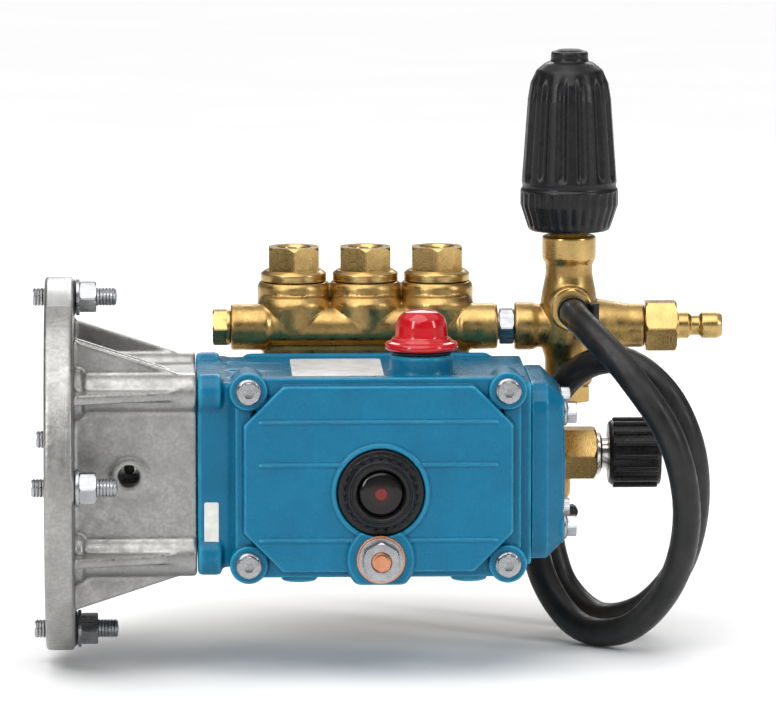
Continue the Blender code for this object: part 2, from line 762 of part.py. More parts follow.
def inlet_tee():
    """A tee whose right end is a hexagon. The bypass hose pushes on to the barb below it."""
    at = (0, *INLET)
    x, y, z = HOSE_END
    down = (x, y, 0)
    barb = [
        (0, -INLET[1]),
        (8.5, -INLET[1]),
        (8.5, -z - 1),
        (BARB_RADIUS, -z - 1),
        (BARB_RADIUS, -z + 11),
        (3.6, -z + 13),
        (0, -z + 13),
    ]
    face = INLET_ENDS[1] + EASY
    run = [(0, 229), (10, 229), (10, face), (12.5, face), (12.5, 266), (0, 266)]
    nut = hexagon(25, 262, 278, at, "+X")
    cuts = [
        rod(7, 228, 270, at, "+X", SMALL),
        rod(9.4, 266, 279, at, "+X"),
        rod(2.6, -INLET[1], -z + 14, down, "-Z", SMALL),
    ]
    part("inlet_tee", BRASS, turned(run, at, "+X"), [nut, turned(barb, down, "-Z")], cuts)


def inlet_swivel():
    """The garden-hose swivel: a flanged tailpiece, and the collar that turns on it."""
    at = (0, *INLET)
    tail = [
        (6, 267),
        (9, 267),
        (9, 279),
        (8.4, 279),
        (8.4, 288.5),
        (12.8, 288.5),
        (12.8, 291.5),
        (6, 291.5),
    ]
    part("swivel_tailpiece", STEEL, turned(tail, at, "+X"))
    collar = [
        (9, 284.5),
        (16.5, 284.5),
        (17, 287),
        (17, 309),
        (16, 311),
        (13.4, 311),
        (13.4, 287.7),
        (9, 287.7),
    ]
    part("inlet_swivel_collar", BLACK, turned(collar, at, "+X"))


def smooth_route(points, count):
    """Evenly spaced points along a Catmull-Rom curve through the route's own points."""
    route = [Vector(p) for p in points]
    route = [2 * route[0] - route[1], *route, 2 * route[-1] - route[-2]]
    fine = [route[1]]
    for a, b, c, d in zip(route, route[1:], route[2:], route[3:]):
        for k in range(1, 21):
            t = k / 20
            bend = (2 * a - 5 * b + 4 * c - d) * t**2 + (3 * b - a - 3 * c + d) * t**3
            fine.append(b + ((c - a) * t + bend) / 2)
    step = sum((b - a).length for a, b in zip(fine, fine[1:])) / (count - 1)
    even, gone = [fine[0]], 0
    for a, b in zip(fine, fine[1:]):
        span = (b - a).length
        while gone + span >= step and len(even) < count - 1:
            a = a.lerp(b, (step - gone) / span)
            span = (b - a).length
            even.append(a)
            gone = 0
        gone += span
    return [*even, fine[-1]]


def bypass_hose():
    """One and a half loops of rubber hose from the unloader's bypass boss to the inlet tee's barb."""
    route = [
        HOSE_START,
        (262, 36, 69),
        (263, 24, 68),
        (270, 3, 62),
        (287, -15, 44),
        (307, -23, 13),
        (315, -18, -24),
        (309, -3, -60),
        (290, 21, -87),
        (267, 45, -91),
        (250, 64, -71),
        (243, 74, -38),
        (244, 71, -4),
        (252, 53, 22),
        (268, 37, 42),
        (288, 23, 46),
        (308, 14, 30),
        (320, 13, 2),
        (322, 22, -30),
        (315, 39, -61),
        (299, 61, -84),
        (279, 85, -92),
        (263, 103, -80),
        (256, 110, -60),
        (256, 110, -47),
        HOSE_END,
    ]
    curve = bpy.data.curves.new("hose", "CURVE")
    curve.dimensions = "3D"
    curve.bevel_depth = HOSE_RADIUS * MM
    curve.bevel_resolution = 2
    curve.use_fill_caps = True
    spline = curve.splines.new("POLY")
    points = smooth_route(route, HOSE_POINTS)
    spline.points.add(len(points) - 1)
    for point, place in zip(spline.points, points):
        point.co = (*(place * MM), 1)
    x, y, z = HOSE_START
    socket = BARB_RADIUS + EASY
    cuts = [rod(socket, -y - 1, -y + 14, (x, 0, z), "-Y")]
    x, y, z = HOSE_END
    cuts += [rod(socket, -z - 1, -z + 14, (x, y, 0), "-Z")]
    part("bypass_hose", RUBBER, as_mesh(tool(curve)), cut=cuts)


clear_scene()
PARTS = collection("pressure_washer_pump")
TOOLS = collection("tools")
ALUMINIUM = material("cast_aluminium", (0.62, 0.62, 0.60), 0.45, 1.0)
BLUE = material("blue_paint", (0.0, 0.17, 0.33), 0.35, 0.0)
BRASS = material("brass", (0.62, 0.43, 0.16), 0.35, 1.0)
BRONZE = material("bronze", (0.55, 0.38, 0.2), 0.45, 1.0)
STEEL = material("zinc_steel", (0.66, 0.66, 0.67), 0.3, 1.0)
RED = material("red_plastic", (0.55, 0.01, 0.02), 0.3, 0.0)
BLACK = material("black_plastic", (0.015, 0.015, 0.016), 0.4, 0.0)
RUBBER = material("black_rubber", (0.02, 0.02, 0.02), 0.65, 0.0)
CERAMIC = material("white_ceramic", (0.85, 0.84, 0.8), 0.25, 0.0)
CLEAR = material("clear_plastic", (0.3, 0.25, 0.15), 0.1, 0.0)

bell_housing()
crankshaft()
bearing("drive_bearing", *DRIVE_BEARING)
bearing("end_bearing", *END_BEARING)
part("shaft_seal", RUBBER, ring(*SHAFT_SEAL, axis="+X"))
connecting_rods()
plungers()
crankcase()
rear_cover()
cover_fittings()
filler_cap()
bearing_cover()
manifold_head()
valves()
gallery_plugs()
discharge_nipple()
unloader_body()
unloader_parts()
outlet_plug()
bypass_barb()
inlet_tee()
inlet_swivel()
bypass_hose()
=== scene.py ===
"""The look of a triplex pressure washer pump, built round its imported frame.

Lengths are in millimetres, and MM turns them into Blender's metres. Places come from the frame's
nodes: span(node) gives a node's lowest and highest corners.
"""

import json
import math

import bmesh
import bpy
from mathutils import Matrix, Vector

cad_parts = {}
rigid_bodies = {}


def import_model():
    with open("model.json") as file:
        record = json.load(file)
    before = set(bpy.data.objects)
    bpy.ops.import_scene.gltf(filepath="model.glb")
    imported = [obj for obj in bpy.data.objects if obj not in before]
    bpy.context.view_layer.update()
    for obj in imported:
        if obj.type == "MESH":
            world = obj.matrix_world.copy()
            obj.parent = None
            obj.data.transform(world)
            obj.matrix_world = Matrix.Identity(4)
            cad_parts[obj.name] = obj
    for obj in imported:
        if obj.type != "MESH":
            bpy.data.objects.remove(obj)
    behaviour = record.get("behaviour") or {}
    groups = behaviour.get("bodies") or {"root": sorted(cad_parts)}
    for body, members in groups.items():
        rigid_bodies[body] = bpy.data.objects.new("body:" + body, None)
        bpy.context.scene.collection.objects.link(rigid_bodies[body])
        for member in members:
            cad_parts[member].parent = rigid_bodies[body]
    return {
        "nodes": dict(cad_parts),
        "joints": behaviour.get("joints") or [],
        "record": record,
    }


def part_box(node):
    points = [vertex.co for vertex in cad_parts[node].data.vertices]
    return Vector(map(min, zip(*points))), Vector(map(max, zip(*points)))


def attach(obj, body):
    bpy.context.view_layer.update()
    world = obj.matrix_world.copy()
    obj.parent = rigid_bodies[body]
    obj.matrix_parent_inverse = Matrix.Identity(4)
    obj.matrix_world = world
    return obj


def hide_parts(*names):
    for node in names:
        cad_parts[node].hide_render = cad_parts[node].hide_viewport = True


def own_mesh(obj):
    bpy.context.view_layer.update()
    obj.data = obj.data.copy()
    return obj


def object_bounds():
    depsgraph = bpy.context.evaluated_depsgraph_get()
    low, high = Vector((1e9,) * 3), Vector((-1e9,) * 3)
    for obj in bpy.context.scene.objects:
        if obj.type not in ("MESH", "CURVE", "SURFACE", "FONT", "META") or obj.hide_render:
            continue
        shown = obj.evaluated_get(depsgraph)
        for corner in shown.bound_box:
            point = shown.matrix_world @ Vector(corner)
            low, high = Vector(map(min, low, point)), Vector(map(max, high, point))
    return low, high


for leftover in list(bpy.data.objects):
    bpy.data.objects.remove(leftover)
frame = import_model()
cad_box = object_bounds()

MM = 0.001
STEPS = 72  # sides of a round piece
CUT_TWIST = math.radians(1.7)
TURN = {
    "+X": Matrix.Rotation(math.pi / 2, 4, "Y"),
    "-X": Matrix.Rotation(-math.pi / 2, 4, "Y"),
    "+Y": Matrix.Rotation(-math.pi / 2, 4, "X"),
    "-Y": Matrix.Rotation(math.pi / 2, 4, "X"),
    "+Z": Matrix.Identity(4),
    "-Z": Matrix.Rotation(math.pi, 4, "X"),
}


def span(node):
    """The lowest and highest corners of a CAD node, in millimetres."""
    low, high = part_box(node)
    return Vector(low) / MM, Vector(high) / MM


def middle(node):
    low, high = span(node)
    return (low + high) / 2


# ---------------------------------------------------------------- camera and cords


def camera():
    """A long lens, nearly square to the rear cover and a little above it."""
    azimuth, elevation, distance = math.radians(-2), math.radians(7.5), 3.5
    width_seen = 0.385
    low, high = (Vector(c) for c in cad_box)
    target = Vector(((low.x + high.x) / 2, (low.y + high.y) / 2, (low.z + high.z) / 2))
    way = Vector((math.sin(azimuth), -math.cos(azimuth), math.tan(elevation))).normalized()
    data = bpy.data.cameras.new("camera")
    data.lens = data.sensor_width / width_seen * distance
    data.clip_end = 100
    eye = bpy.data.objects.new("camera", data)
    eye.location = target + way * distance
    eye.rotation_euler = (-way).to_track_quat("-Z", "Y").to_euler()
    bpy.context.scene.collection.objects.link(eye)
    bpy.context.scene.camera = eye


HOSE_RADIUS = 0.007
HOSE_ROUTE = [
    (0.262, 0.045, 0.069),
    (0.262, 0.036, 0.069),
    (0.263, 0.024, 0.068),
    (0.270, 0.003, 0.062),
    (0.287, -0.015, 0.044),
    (0.307, -0.023, 0.013),
    (0.315, -0.018, -0.024),
    (0.309, -0.003, -0.060),
    (0.290, 0.021, -0.087),
    (0.267, 0.045, -0.091),
    (0.250, 0.064, -0.071),
    (0.243, 0.074, -0.038),
    (0.244, 0.071, -0.004),
    (0.252, 0.053, 0.022),
    (0.268, 0.037, 0.042),
    (0.288, 0.023, 0.046),
    (0.308, 0.014, 0.030),
    (0.320, 0.013, 0.002),
    (0.322, 0.022, -0.030),
    (0.315, 0.039, -0.061),
    (0.299, 0.061, -0.084),
    (0.279, 0.085, -0.092),
    (0.263, 0.103, -0.080),
    (0.256, 0.110, -0.060),
    (0.256, 0.110, -0.047),
    (0.256, 0.110, -0.036),
]


def smooth_route(points, steps=12):
    """A Catmull-Rom curve through the route's points."""
    route = [Vector(p) for p in points]
    route = [2 * route[0] - route[1], *route, 2 * route[-1] - route[-2]]
    made = [route[1]]
    for a, b, c, d in zip(route, route[1:], route[2:], route[3:]):
        for k in range(1, steps + 1):
            t = k / steps
            bend = (2 * a - 5 * b + 4 * c - d) * t**2 + (3 * b - a - 3 * c + d) * t**3
            made.append(b + ((c - a) * t + bend) / 2)
    return made


def bypass_hose():
    """One and a half loops of hose from the unloader's bypass barb to the inlet tee's barb."""
    curve = bpy.data.curves.new("bypass_hose_rubber", "CURVE")
    curve.dimensions = "3D"
    curve.bevel_depth = HOSE_RADIUS
    curve.bevel_resolution = 8
    curve.use_fill_caps = True
    spline = curve.splines.new("POLY")
    points = smooth_route(HOSE_ROUTE)
    spline.points.add(len(points) - 1)
    for point, place in zip(spline.points, points):
        point.co = (*place, 1)
    hose = bpy.data.objects.new("bypass_hose_rubber", curve)
    bpy.context.scene.collection.objects.link(hose)
    curve.materials.append(RUBBER)
    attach(hose, "pump")
    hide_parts("bypass_hose")


# ---------------------------------------------------------------- shapes


def shape(bm, at=(0, 0, 0), axis="+Z"):
    """An object whose +Z is turned to the axis, with its origin at the point."""
    mesh = bpy.data.meshes.new("shape")
    bm.to_mesh(mesh)
    bm.free()
    obj = bpy.data.objects.new("shape", mesh)
    bpy.context.scene.collection.objects.link(obj)
    obj.matrix_world = Matrix.Translation(Vector(at) * MM) @ TURN[axis]
    return obj


def soften(profile, reach, closed):
    """The profile with a small arc in place of each corner."""
    points = [Vector(p) for p in profile]
    made = []
    for i, corner in enumerate(points):
        if not closed and i in (0, len(points) - 1):
            made.append(corner)
            continue
        back = points[i - 1] - corner
        on = points[(i + 1) % len(points)] - corner
        cut = min(reach, back.length * 0.45, on.length * 0.45)
        start = corner + back.normalized() * cut
        end = corner + on.normalized() * cut
        for k in range(4):
            t = k / 3
            made.append(start * (1 - t) ** 2 + 2 * corner * t * (1 - t) + end * t * t)
    return made


def turned(profile, at=(0, 0, 0), axis="+Z", soft=0.5, steps=STEPS):
    """A turned solid with eased corners. The profile is (radius, height) pairs from axis to axis, or
    a ring's outline."""
    closed = profile[0][0] > 0
    bm = bmesh.new()
    verts = [bm.verts.new((r * MM, 0, h * MM)) for r, h in soften(profile, soft, closed)]
    pairs = list(zip(verts, verts[1:]))
    if closed:
        pairs.append((verts[-1], verts[0]))
    edges = [bm.edges.new(pair) for pair in pairs]
    bmesh.ops.spin(
        bm,
        geom=verts + edges,
        cent=(0, 0, 0),
        axis=(0, 0, 1),
        angle=2 * math.pi,
        steps=steps,
        use_merge=True,
    )
    bmesh.ops.remove_doubles(bm, verts=bm.verts, dist=1e-7)
    bmesh.ops.recalc_face_normals(bm, faces=bm.faces)
    return shape(bm, at, axis)


def rod(radius, start, end, at=(0, 0, 0), axis="+Z", soft=0.5, steps=STEPS):
    return turned([(0, start), (radius, start), (radius, end), (0, end)], at, axis, soft, steps)


def drill(radius, start, end, at=(0, 0, 0), axis="+Z", steps=STEPS // 2):
    """A cylinder, or a prism, to cut with. Its corners stand off the axes, so that no two cuts share an
    edge."""
    outline = [(0, start), (radius, start), (radius, end), (0, end)]
    made = turned(outline, at, axis, 0.01, steps)
    made.matrix_world = made.matrix_world @ Matrix.Rotation(CUT_TWIST, 4, "Z")
    return made


def block(low, high, radius=1.0, along=None, edge=0.0):
    """A box with rounded edges: those along one axis, or all of them. edge then eases what is left."""
    bm = bmesh.new()
    size = (Vector(high) - Vector(low)) * MM
    bmesh.ops.create_cube(bm, size=1, matrix=Matrix.Diagonal((*size, 1)))
    edges = bm.edges[:]
    if along is not None:
        k = "XYZ".index(along)
        edges = [e for e in edges if abs((e.verts[0].co - e.verts[1].co)[k]) > 1e-6]
    bmesh.ops.bevel(
        bm, geom=edges, offset=radius * MM, segments=5, profile=0.5, affect="EDGES"
    )
    if edge:
        sharp = [e for e in bm.edges if e.calc_face_angle(0) > math.radians(50)]
        bmesh.ops.bevel(
            bm, geom=sharp, offset=edge * MM, segments=3, profile=0.5, affect="EDGES"
        )
    return shape(bm, (Vector(low) + Vector(high)) / 2)


def octagon(low, high, corner, edge):
    """An upright plate with cut corners, seen along Y, and eased edges."""
    bm = bmesh.new()
    size = (Vector(high) - Vector(low)) * MM
    bmesh.ops.create_cube(bm, size=1, matrix=Matrix.Diagonal((*size, 1)))
    upright = [e for e in bm.edges if abs((e.verts[0].co - e.verts[1].co).y) > 1e-6]
    bmesh.ops.bevel(bm, geom=upright, offset=corner * MM, segments=1, affect="EDGES")
    bmesh.ops.bevel(
        bm, geom=bm.edges[:], offset=edge * MM, segments=3, profile=0.5, affect="EDGES"
    )
    return shape(bm, (Vector(low) + Vector(high)) / 2)


def web(outline, thickness, place, spin):
    """A flat rib: an outline in X and height, this thick about its place, turned about the X axis."""
    bm = bmesh.new()
    verts = [bm.verts.new((x * MM, (place - thickness / 2) * MM, z * MM)) for x, z in outline]
    face = bm.faces.new(verts)
    grown = bmesh.ops.extrude_face_region(bm, geom=[face])["geom"]
    moved = [v for v in grown if isinstance(v, bmesh.types.BMVert)]
    bmesh.ops.translate(bm, verts=moved, vec=(0, thickness * MM, 0))
    bmesh.ops.recalc_face_normals(bm, faces=bm.faces)
    obj = shape(bm)
    obj.matrix_world = Matrix.Rotation(spin, 4, "X")
    return obj


def settle(obj):
    """Applies the object's modifiers to its mesh."""
    bpy.context.view_layer.update()
    graph = bpy.context.evaluated_depsgraph_get()
    mesh = bpy.data.meshes.new_from_object(obj.evaluated_get(graph))
    obj.modifiers.clear()
    obj.data = mesh
    return obj


def combine(base, joined=(), cut=(), common=()):
    jobs = (("UNION", joined), ("DIFFERENCE", cut), ("INTERSECT", common))
    for operation, others in jobs:
        for other in others:
            step = base.modifiers.new(operation, "BOOLEAN")
            step.operation = operation
            step.object = other
    settle(base)
    for other in (*joined, *cut, *common):
        bpy.data.objects.remove(other)
    return base


def cast(obj, grain, passes=6, keep=0.35):
    """Gives a cut and joined solid the eased corners and fillets of a casting."""
    skin = obj.modifiers.new("Skin", "REMESH")
    skin.mode = "VOXEL"
    skin.voxel_size = grain * MM * 1
    ease = obj.modifiers.new("Fillet", "SMOOTH")
    ease.factor = 0.5
    ease.iterations = passes
    thin = obj.modifiers.new("Thin", "DECIMATE")
    thin.ratio = keep
    return settle(obj)


def hex_head(across, low, high, at, axis, bevel=1.0, both=False):
    """A hexagon with the arcs that a chamfer leaves on its corners."""
    corner = across / 2 / math.cos(math.pi / 6)
    bm = bmesh.new()
    bmesh.ops.create_cone(
        bm,
        cap_ends=True,
        segments=6,
        radius1=corner * MM,
        radius2=corner * MM,
        depth=(high - low) * MM,
        matrix=Matrix.Translation((0, 0, (low + high) / 2 * MM)),
    )
    upright = [e for e in bm.edges if abs((e.verts[0].co - e.verts[1].co).z) > 1e-6]
    bmesh.ops.bevel(bm, geom=upright, offset=0.3 * MM, segments=2, affect="EDGES")
    head = shape(bm, at, axis)
    foot = [(corner * 0.93, low), (corner * 1.02, low + bevel)] if both else [(corner * 1.02, low)]
    top = [(corner * 1.02, high - bevel), (corner * 0.9, high)]
    chamfer = turned([(0, low), *foot, *top, (0, high)], at, axis, 0.15)
    return combine(head, common=[chamfer])


def thread(radius, low, high, pitch=1.5, depth=0.8):
    """The (radius, height) points of a thread's flanks, from low to high."""
    turns = max(1, int((high - low) / pitch))
    made = []
    for k in range(turns):
        made += [(radius - depth, low + k * pitch + 0.1), (radius, low + (k + 0.5) * pitch)]
    return [*made, (radius - depth, low + turns * pitch)]


def spring(radius, wire, low, high, turns, at):
    """A compression spring as a mesh, wound about +Z."""
    curve = bpy.data.curves.new("spring", "CURVE")
    curve.dimensions = "3D"
    curve.bevel_depth = wire * MM
    curve.bevel_resolution = 3
    curve.use_fill_caps = True
    count = 24 * turns
    spline = curve.splines.new("POLY")
    spline.points.add(count)
    for k, point in enumerate(spline.points):
        angle = 2 * math.pi * turns * k / count
        height = low + wire + (high - low - 2 * wire) * k / count
        x, y = radius * math.cos(angle), radius * math.sin(angle)
        point.co = (x * MM, y * MM, height * MM, 1)
    obj = bpy.data.objects.new("spring", curve)
    bpy.context.scene.collection.objects.link(obj)
    bpy.context.view_layer.update()
    graph = bpy.context.evaluated_depsgraph_get()
    mesh = bpy.data.meshes.new_from_object(obj.evaluated_get(graph))
    bpy.data.objects.remove(obj)
    made = bpy.data.objects.new("spring", mesh)
    bpy.context.scene.collection.objects.link(made)
    made.location = Vector(at) * MM
    return made


def piece(name, obj, look, body="pump", replaces=(), sharp=38):
    """Names the object, gives it its look and makes it ride on its body."""
    obj.name = name
    obj.data.name = name
    obj.data.materials.clear()
    obj.data.materials.append(look)
    obj.data.shade_smooth()
    obj.data.set_sharp_from_angle(angle=math.radians(sharp))
    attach(obj, body)
    if replaces:
        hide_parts(*replaces)
    return obj


def machined(obj, look, inside):
    """Gives the second look to the faces whose centre and normal pass the test."""
    obj.data.materials.append(look)
    for face in obj.data.polygons:
        if inside(face.center / MM, face.normal):
            face.material_index = 1


# ---------------------------------------------------------------- materials


class Look:
    """A node material under construction, on object coordinates in metres."""

    def __init__(self, name, colour, roughness, metallic=0.0):
        self.material = bpy.data.materials.new(name)
        self.material.use_nodes = True
        self.tree = self.material.node_tree
        self.shader = self.tree.nodes["Principled BSDF"]
        self.set(**{"Base Color": (*colour, 1), "Roughness": roughness, "Metallic": metallic})
        self.place = self.node("TexCoord").outputs["Object"]
        self.normal = None

    def set(self, **values):
        for socket, value in values.items():
            self.shader.inputs[socket.replace("_", " ")].default_value = value

    def node(self, kind, **settings):
        made = self.tree.nodes.new("ShaderNode" + kind)
        for key, value in settings.items():
            setattr(made, key, value)
        return made

    def feed(self, target, source):
        if isinstance(source, bpy.types.NodeSocket):
            self.tree.links.new(source, target)
        else:
            target.default_value = source

    def stretched(self, x, y, z):
        step = self.node("Mapping")
        step.inputs["Scale"].default_value = (x, y, z)
        self.feed(step.inputs["Vector"], self.place)
        return step.outputs["Vector"]

    def rings(self):
        """Coordinates that change only with the distance from the Z axis, and slowly along it."""
        parts = self.node("SeparateXYZ")
        self.feed(parts.inputs[0], self.place)
        flat = self.node("CombineXYZ")
        self.feed(flat.inputs["X"], parts.outputs["X"])
        self.feed(flat.inputs["Y"], parts.outputs["Y"])
        far = self.node("VectorMath", operation="LENGTH")
        self.feed(far.inputs[0], flat.outputs[0])
        made = self.node("CombineXYZ")
        self.feed(made.inputs["X"], far.outputs["Value"])
        self.feed(made.inputs["Z"], parts.outputs["Z"])
        return made.outputs[0]

    def noise(self, size, detail=2.0, place=None):
        """Noise with features of this size in millimetres."""
        made = self.node("TexNoise")
        made.inputs["Scale"].default_value = 1 / (size * MM)
        made.inputs["Detail"].default_value = detail
        self.feed(made.inputs["Vector"], place or self.place)
        return made.outputs["Fac"]

    def remap(self, source, low, high, from_low=0.35, from_high=0.65):
        made = self.node("MapRange")
        values = (from_low, from_high, low, high)
        for socket, value in zip(("From Min", "From Max", "To Min", "To Max"), values):
            made.inputs[socket].default_value = value
        self.feed(made.inputs["Value"], source)
        return made.outputs[0]

    def edges(self, low, high):
        """0 to 1 with the surface's curvature: over 0.5 on edges, under it in corners."""
        shape_of = self.node("NewGeometry")
        return self.remap(shape_of.outputs["Pointiness"], 0, 1, low, high)

    def mix(self, factor, a, b):
        made = self.node("Mix", data_type="RGBA")
        self.feed(made.inputs[0], factor)
        self.feed(made.inputs[6], a if isinstance(a, bpy.types.NodeSocket) else (*a, 1))
        self.feed(made.inputs[7], b if isinstance(b, bpy.types.NodeSocket) else (*b, 1))
        return made.outputs[2]

    def colour(self, source):
        self.feed(self.shader.inputs["Base Color"], source)

    def roughness(self, source):
        self.feed(self.shader.inputs["Roughness"], source)

    def bump(self, source, depth, strength=1.0):
        """Adds relief of this depth in millimetres."""
        made = self.node("Bump")
        made.inputs["Distance"].default_value = depth * MM
        made.inputs["Strength"].default_value = strength
        self.feed(made.inputs["Height"], source)
        if self.normal:
            self.feed(made.inputs["Normal"], self.normal)
        self.normal = made.outputs["Normal"]
        self.feed(self.shader.inputs["Normal"], self.normal)


def cast_metal(name, light, dark, grain, rough, relief):
    """A cast or forged metal skin: sandy relief, blotches, and painted shade that darkens the corners."""
    look = Look(name, light, rough, 1.0)
    blotch = look.remap(look.noise(14, 4), 0, 1, 0.38, 0.62)
    fine = look.remap(look.noise(grain * 2.5, 3), 0, 1, 0.3, 0.7)
    skin = look.mix(look.remap(fine, 0, 0.45, 0, 1), light, dark)
    skin = look.mix(look.remap(blotch, 0, 0.35, 0, 1), skin, dark)
    # painted shade: the colour darkens where the surface is hollow, in corners and creases
    corner_shade = tuple(c * 0.3 for c in dark)
    skin = look.mix(look.edges(0.485, 0.43), skin, corner_shade)
    look.colour(skin)
    look.roughness(look.remap(look.noise(5, 3), rough - 0.08, rough + 0.1))
    look.bump(look.noise(grain, 3), relief)
    look.bump(look.noise(5, 2), relief * 1.6)
    return look.material


def turned_metal(name, light, dark, rough, relief=0.012):
    """A lathe-cut surface: fine rings about the piece's own Z axis, and painted shade in its corners."""
    look = Look(name, light, rough, 1.0)
    rings = look.noise(0.35, 2, look.rings())
    blotch = look.noise(9, 4)
    skin = look.mix(look.remap(blotch, 0, 0.5), light, dark)
    # painted shade: the colour darkens in the corners
    skin = look.mix(look.edges(0.48, 0.42), skin, tuple(c * 0.4 for c in dark))
    look.colour(skin)
    look.roughness(look.remap(rings, rough - 0.07, rough + 0.08))
    look.bump(rings, relief)
    look.bump(look.noise(1.2, 3), relief)
    return look.material


def brushed_metal(name, light, dark, rough, place=None):
    """Plated or ground steel, with faint streaks and specks, and painted shade in its corners."""
    look = Look(name, light, rough, 1.0)
    streak = look.noise(1.0, 3, look.stretched(1, 1, 0.12))
    skin = look.mix(look.remap(look.noise(6, 4), 0, 0.55), light, dark)
    # painted shade: the colour darkens in the corners
    skin = look.mix(look.edges(0.48, 0.42), skin, tuple(c * 0.35 for c in dark))
    look.colour(skin)
    look.roughness(look.remap(streak, rough - 0.08, rough + 0.1))
    look.bump(streak, 0.012)
    return look.material


def enamel(name, colour, speckle_and_edge_highlight, deep):
    """Satin enamel over a casting: orange peel, light specks, painted highlights along its edges and painted shade in
    its corners.
    """
    look = Look(name, colour, 0.3)
    look.set(Coat_Weight=0.05, Coat_Roughness=0.12, Specular_IOR_Level=0.22)
    skin = look.mix(look.remap(look.noise(22, 3), 0, 1), colour, tuple(c * 0.86 for c in colour))
    skin = look.mix(look.remap(look.noise(0.9, 2), 0, 0.06), skin, speckle_and_edge_highlight)
    # painted shade: the corners and creases are darkened towards the deep colour
    skin = look.mix(look.edges(0.495, 0.455), skin, deep)
    # painted highlight: the edges are lightened towards the bright colour
    skin = look.mix(look.edges(0.51, 0.57), skin, speckle_and_edge_highlight)
    look.colour(skin)
    look.roughness(look.remap(look.noise(4, 3), 0.26, 0.38))
    look.bump(look.noise(2.2, 2), 0.05)
    look.bump(look.noise(0.5, 2), 0.012)
    return look.material


def moulded(name, colour, rough, grain, relief, coat=0.0):
    """Moulded plastic with a fine grain, a little dust in paler blotches, and painted highlights along its edges."""
    look = Look(name, colour, rough)
    look.set(Specular_IOR_Level=0.3)
    if coat:
        look.set(Coat_Weight=coat, Coat_Roughness=0.05)
    pale = tuple(min(1, c * 1.4 + 0.004) for c in colour)
    skin = look.mix(look.remap(look.noise(7, 4), 0, 0.5), colour, pale)
    # painted highlight: the edges are lightened towards the paler colour
    skin = look.mix(look.edges(0.52, 0.6), skin, pale)
    look.colour(skin)
    look.roughness(look.remap(look.noise(3, 3), rough - 0.06, rough + 0.08))
    look.bump(look.noise(grain, 2), relief)
    return look.material


def lens_look():
    """A dark oil window with a red dot in its middle."""
    look = Look("oil_window", (0.05, 0.02, 0.01), 0.1)
    look.set(Specular_IOR_Level=0.35)
    parts = look.node("SeparateXYZ")
    look.feed(parts.inputs[0], look.rings())
    dot = look.remap(parts.outputs["X"], 1, 0, 0.0026, 0.0030)
    ring = look.remap(parts.outputs["X"], 0, 1, 0.0058, 0.0062)
    oil = look.mix(look.remap(look.noise(5, 3), 0, 1), (0.018, 0.006, 0.004), (0.007, 0.004, 0.003))
    skin = look.mix(ring, oil, (0.004, 0.004, 0.004))
    look.colour(look.mix(dot, skin, (0.16, 0.010, 0.01)))
    look.bump(look.noise(6, 2), 0.02)
    return look.material


def foil_look():
    """A blank silver foil label with a slight crinkle."""
    look = Look("foil", (0.72, 0.73, 0.74), 0.45, 0.35)
    look.colour(look.mix(look.remap(look.noise(9, 4), 0, 1), (0.74, 0.75, 0.76), (0.6, 0.61, 0.63)))
    look.roughness(look.remap(look.noise(2, 3), 0.4, 0.55))
    look.bump(look.noise(7, 3), 0.08)
    look.bump(look.noise(0.6, 2), 0.01)
    return look.material


def paper_look():
    """A blank coated-paper sticker."""
    look = Look("paper", (0.75, 0.74, 0.7), 0.5)
    look.colour(look.mix(look.remap(look.noise(5, 4), 0, 1), (0.8, 0.79, 0.75), (0.66, 0.65, 0.6)))
    look.roughness(look.remap(look.noise(1.5, 3), 0.42, 0.6))
    look.bump(look.noise(0.4, 3), 0.01)
    return look.material


def ceramic_look():
    look = Look("alumina", (0.85, 0.83, 0.77), 0.16)
    look.colour(look.mix(look.remap(look.noise(3, 3), 0, 1), (0.88, 0.86, 0.8), (0.8, 0.78, 0.72)))
    look.roughness(look.remap(look.noise(1, 3), 0.12, 0.22))
    look.bump(look.noise(0.4, 2), 0.004)
    return look.material


def rubber_look():
    """A hose cover: matt, with dust and faint cloth marks."""
    look = Look("hose_rubber", (0.010, 0.010, 0.010), 0.45)
    look.set(Specular_IOR_Level=0.35)
    dust = look.remap(look.noise(10, 5), 0, 0.5)
    skin = look.mix(dust, (0.006, 0.006, 0.006), (0.022, 0.021, 0.021))
    look.colour(skin)
    look.roughness(look.remap(look.noise(4, 4), 0.3, 0.5))
    look.bump(look.noise(0.7, 3), 0.03)
    look.bump(look.noise(3.5, 2), 0.05)
    return look.material


def floor_look():
    look = Look("studio_floor", (0.93, 0.93, 0.93), 0.7)
    look.colour(look.mix(look.remap(look.noise(160, 2), 0, 1), (0.94, 0.94, 0.94), (0.925, 0.925, 0.925)))
    return look.material


ALUMINIUM = cast_metal("cast_aluminium_skin", (0.41, 0.405, 0.395), (0.22, 0.215, 0.205), 0.7, 0.40, 0.09)
MILLED = turned_metal("milled_aluminium", (0.62, 0.62, 0.61), (0.48, 0.48, 0.47), 0.33)
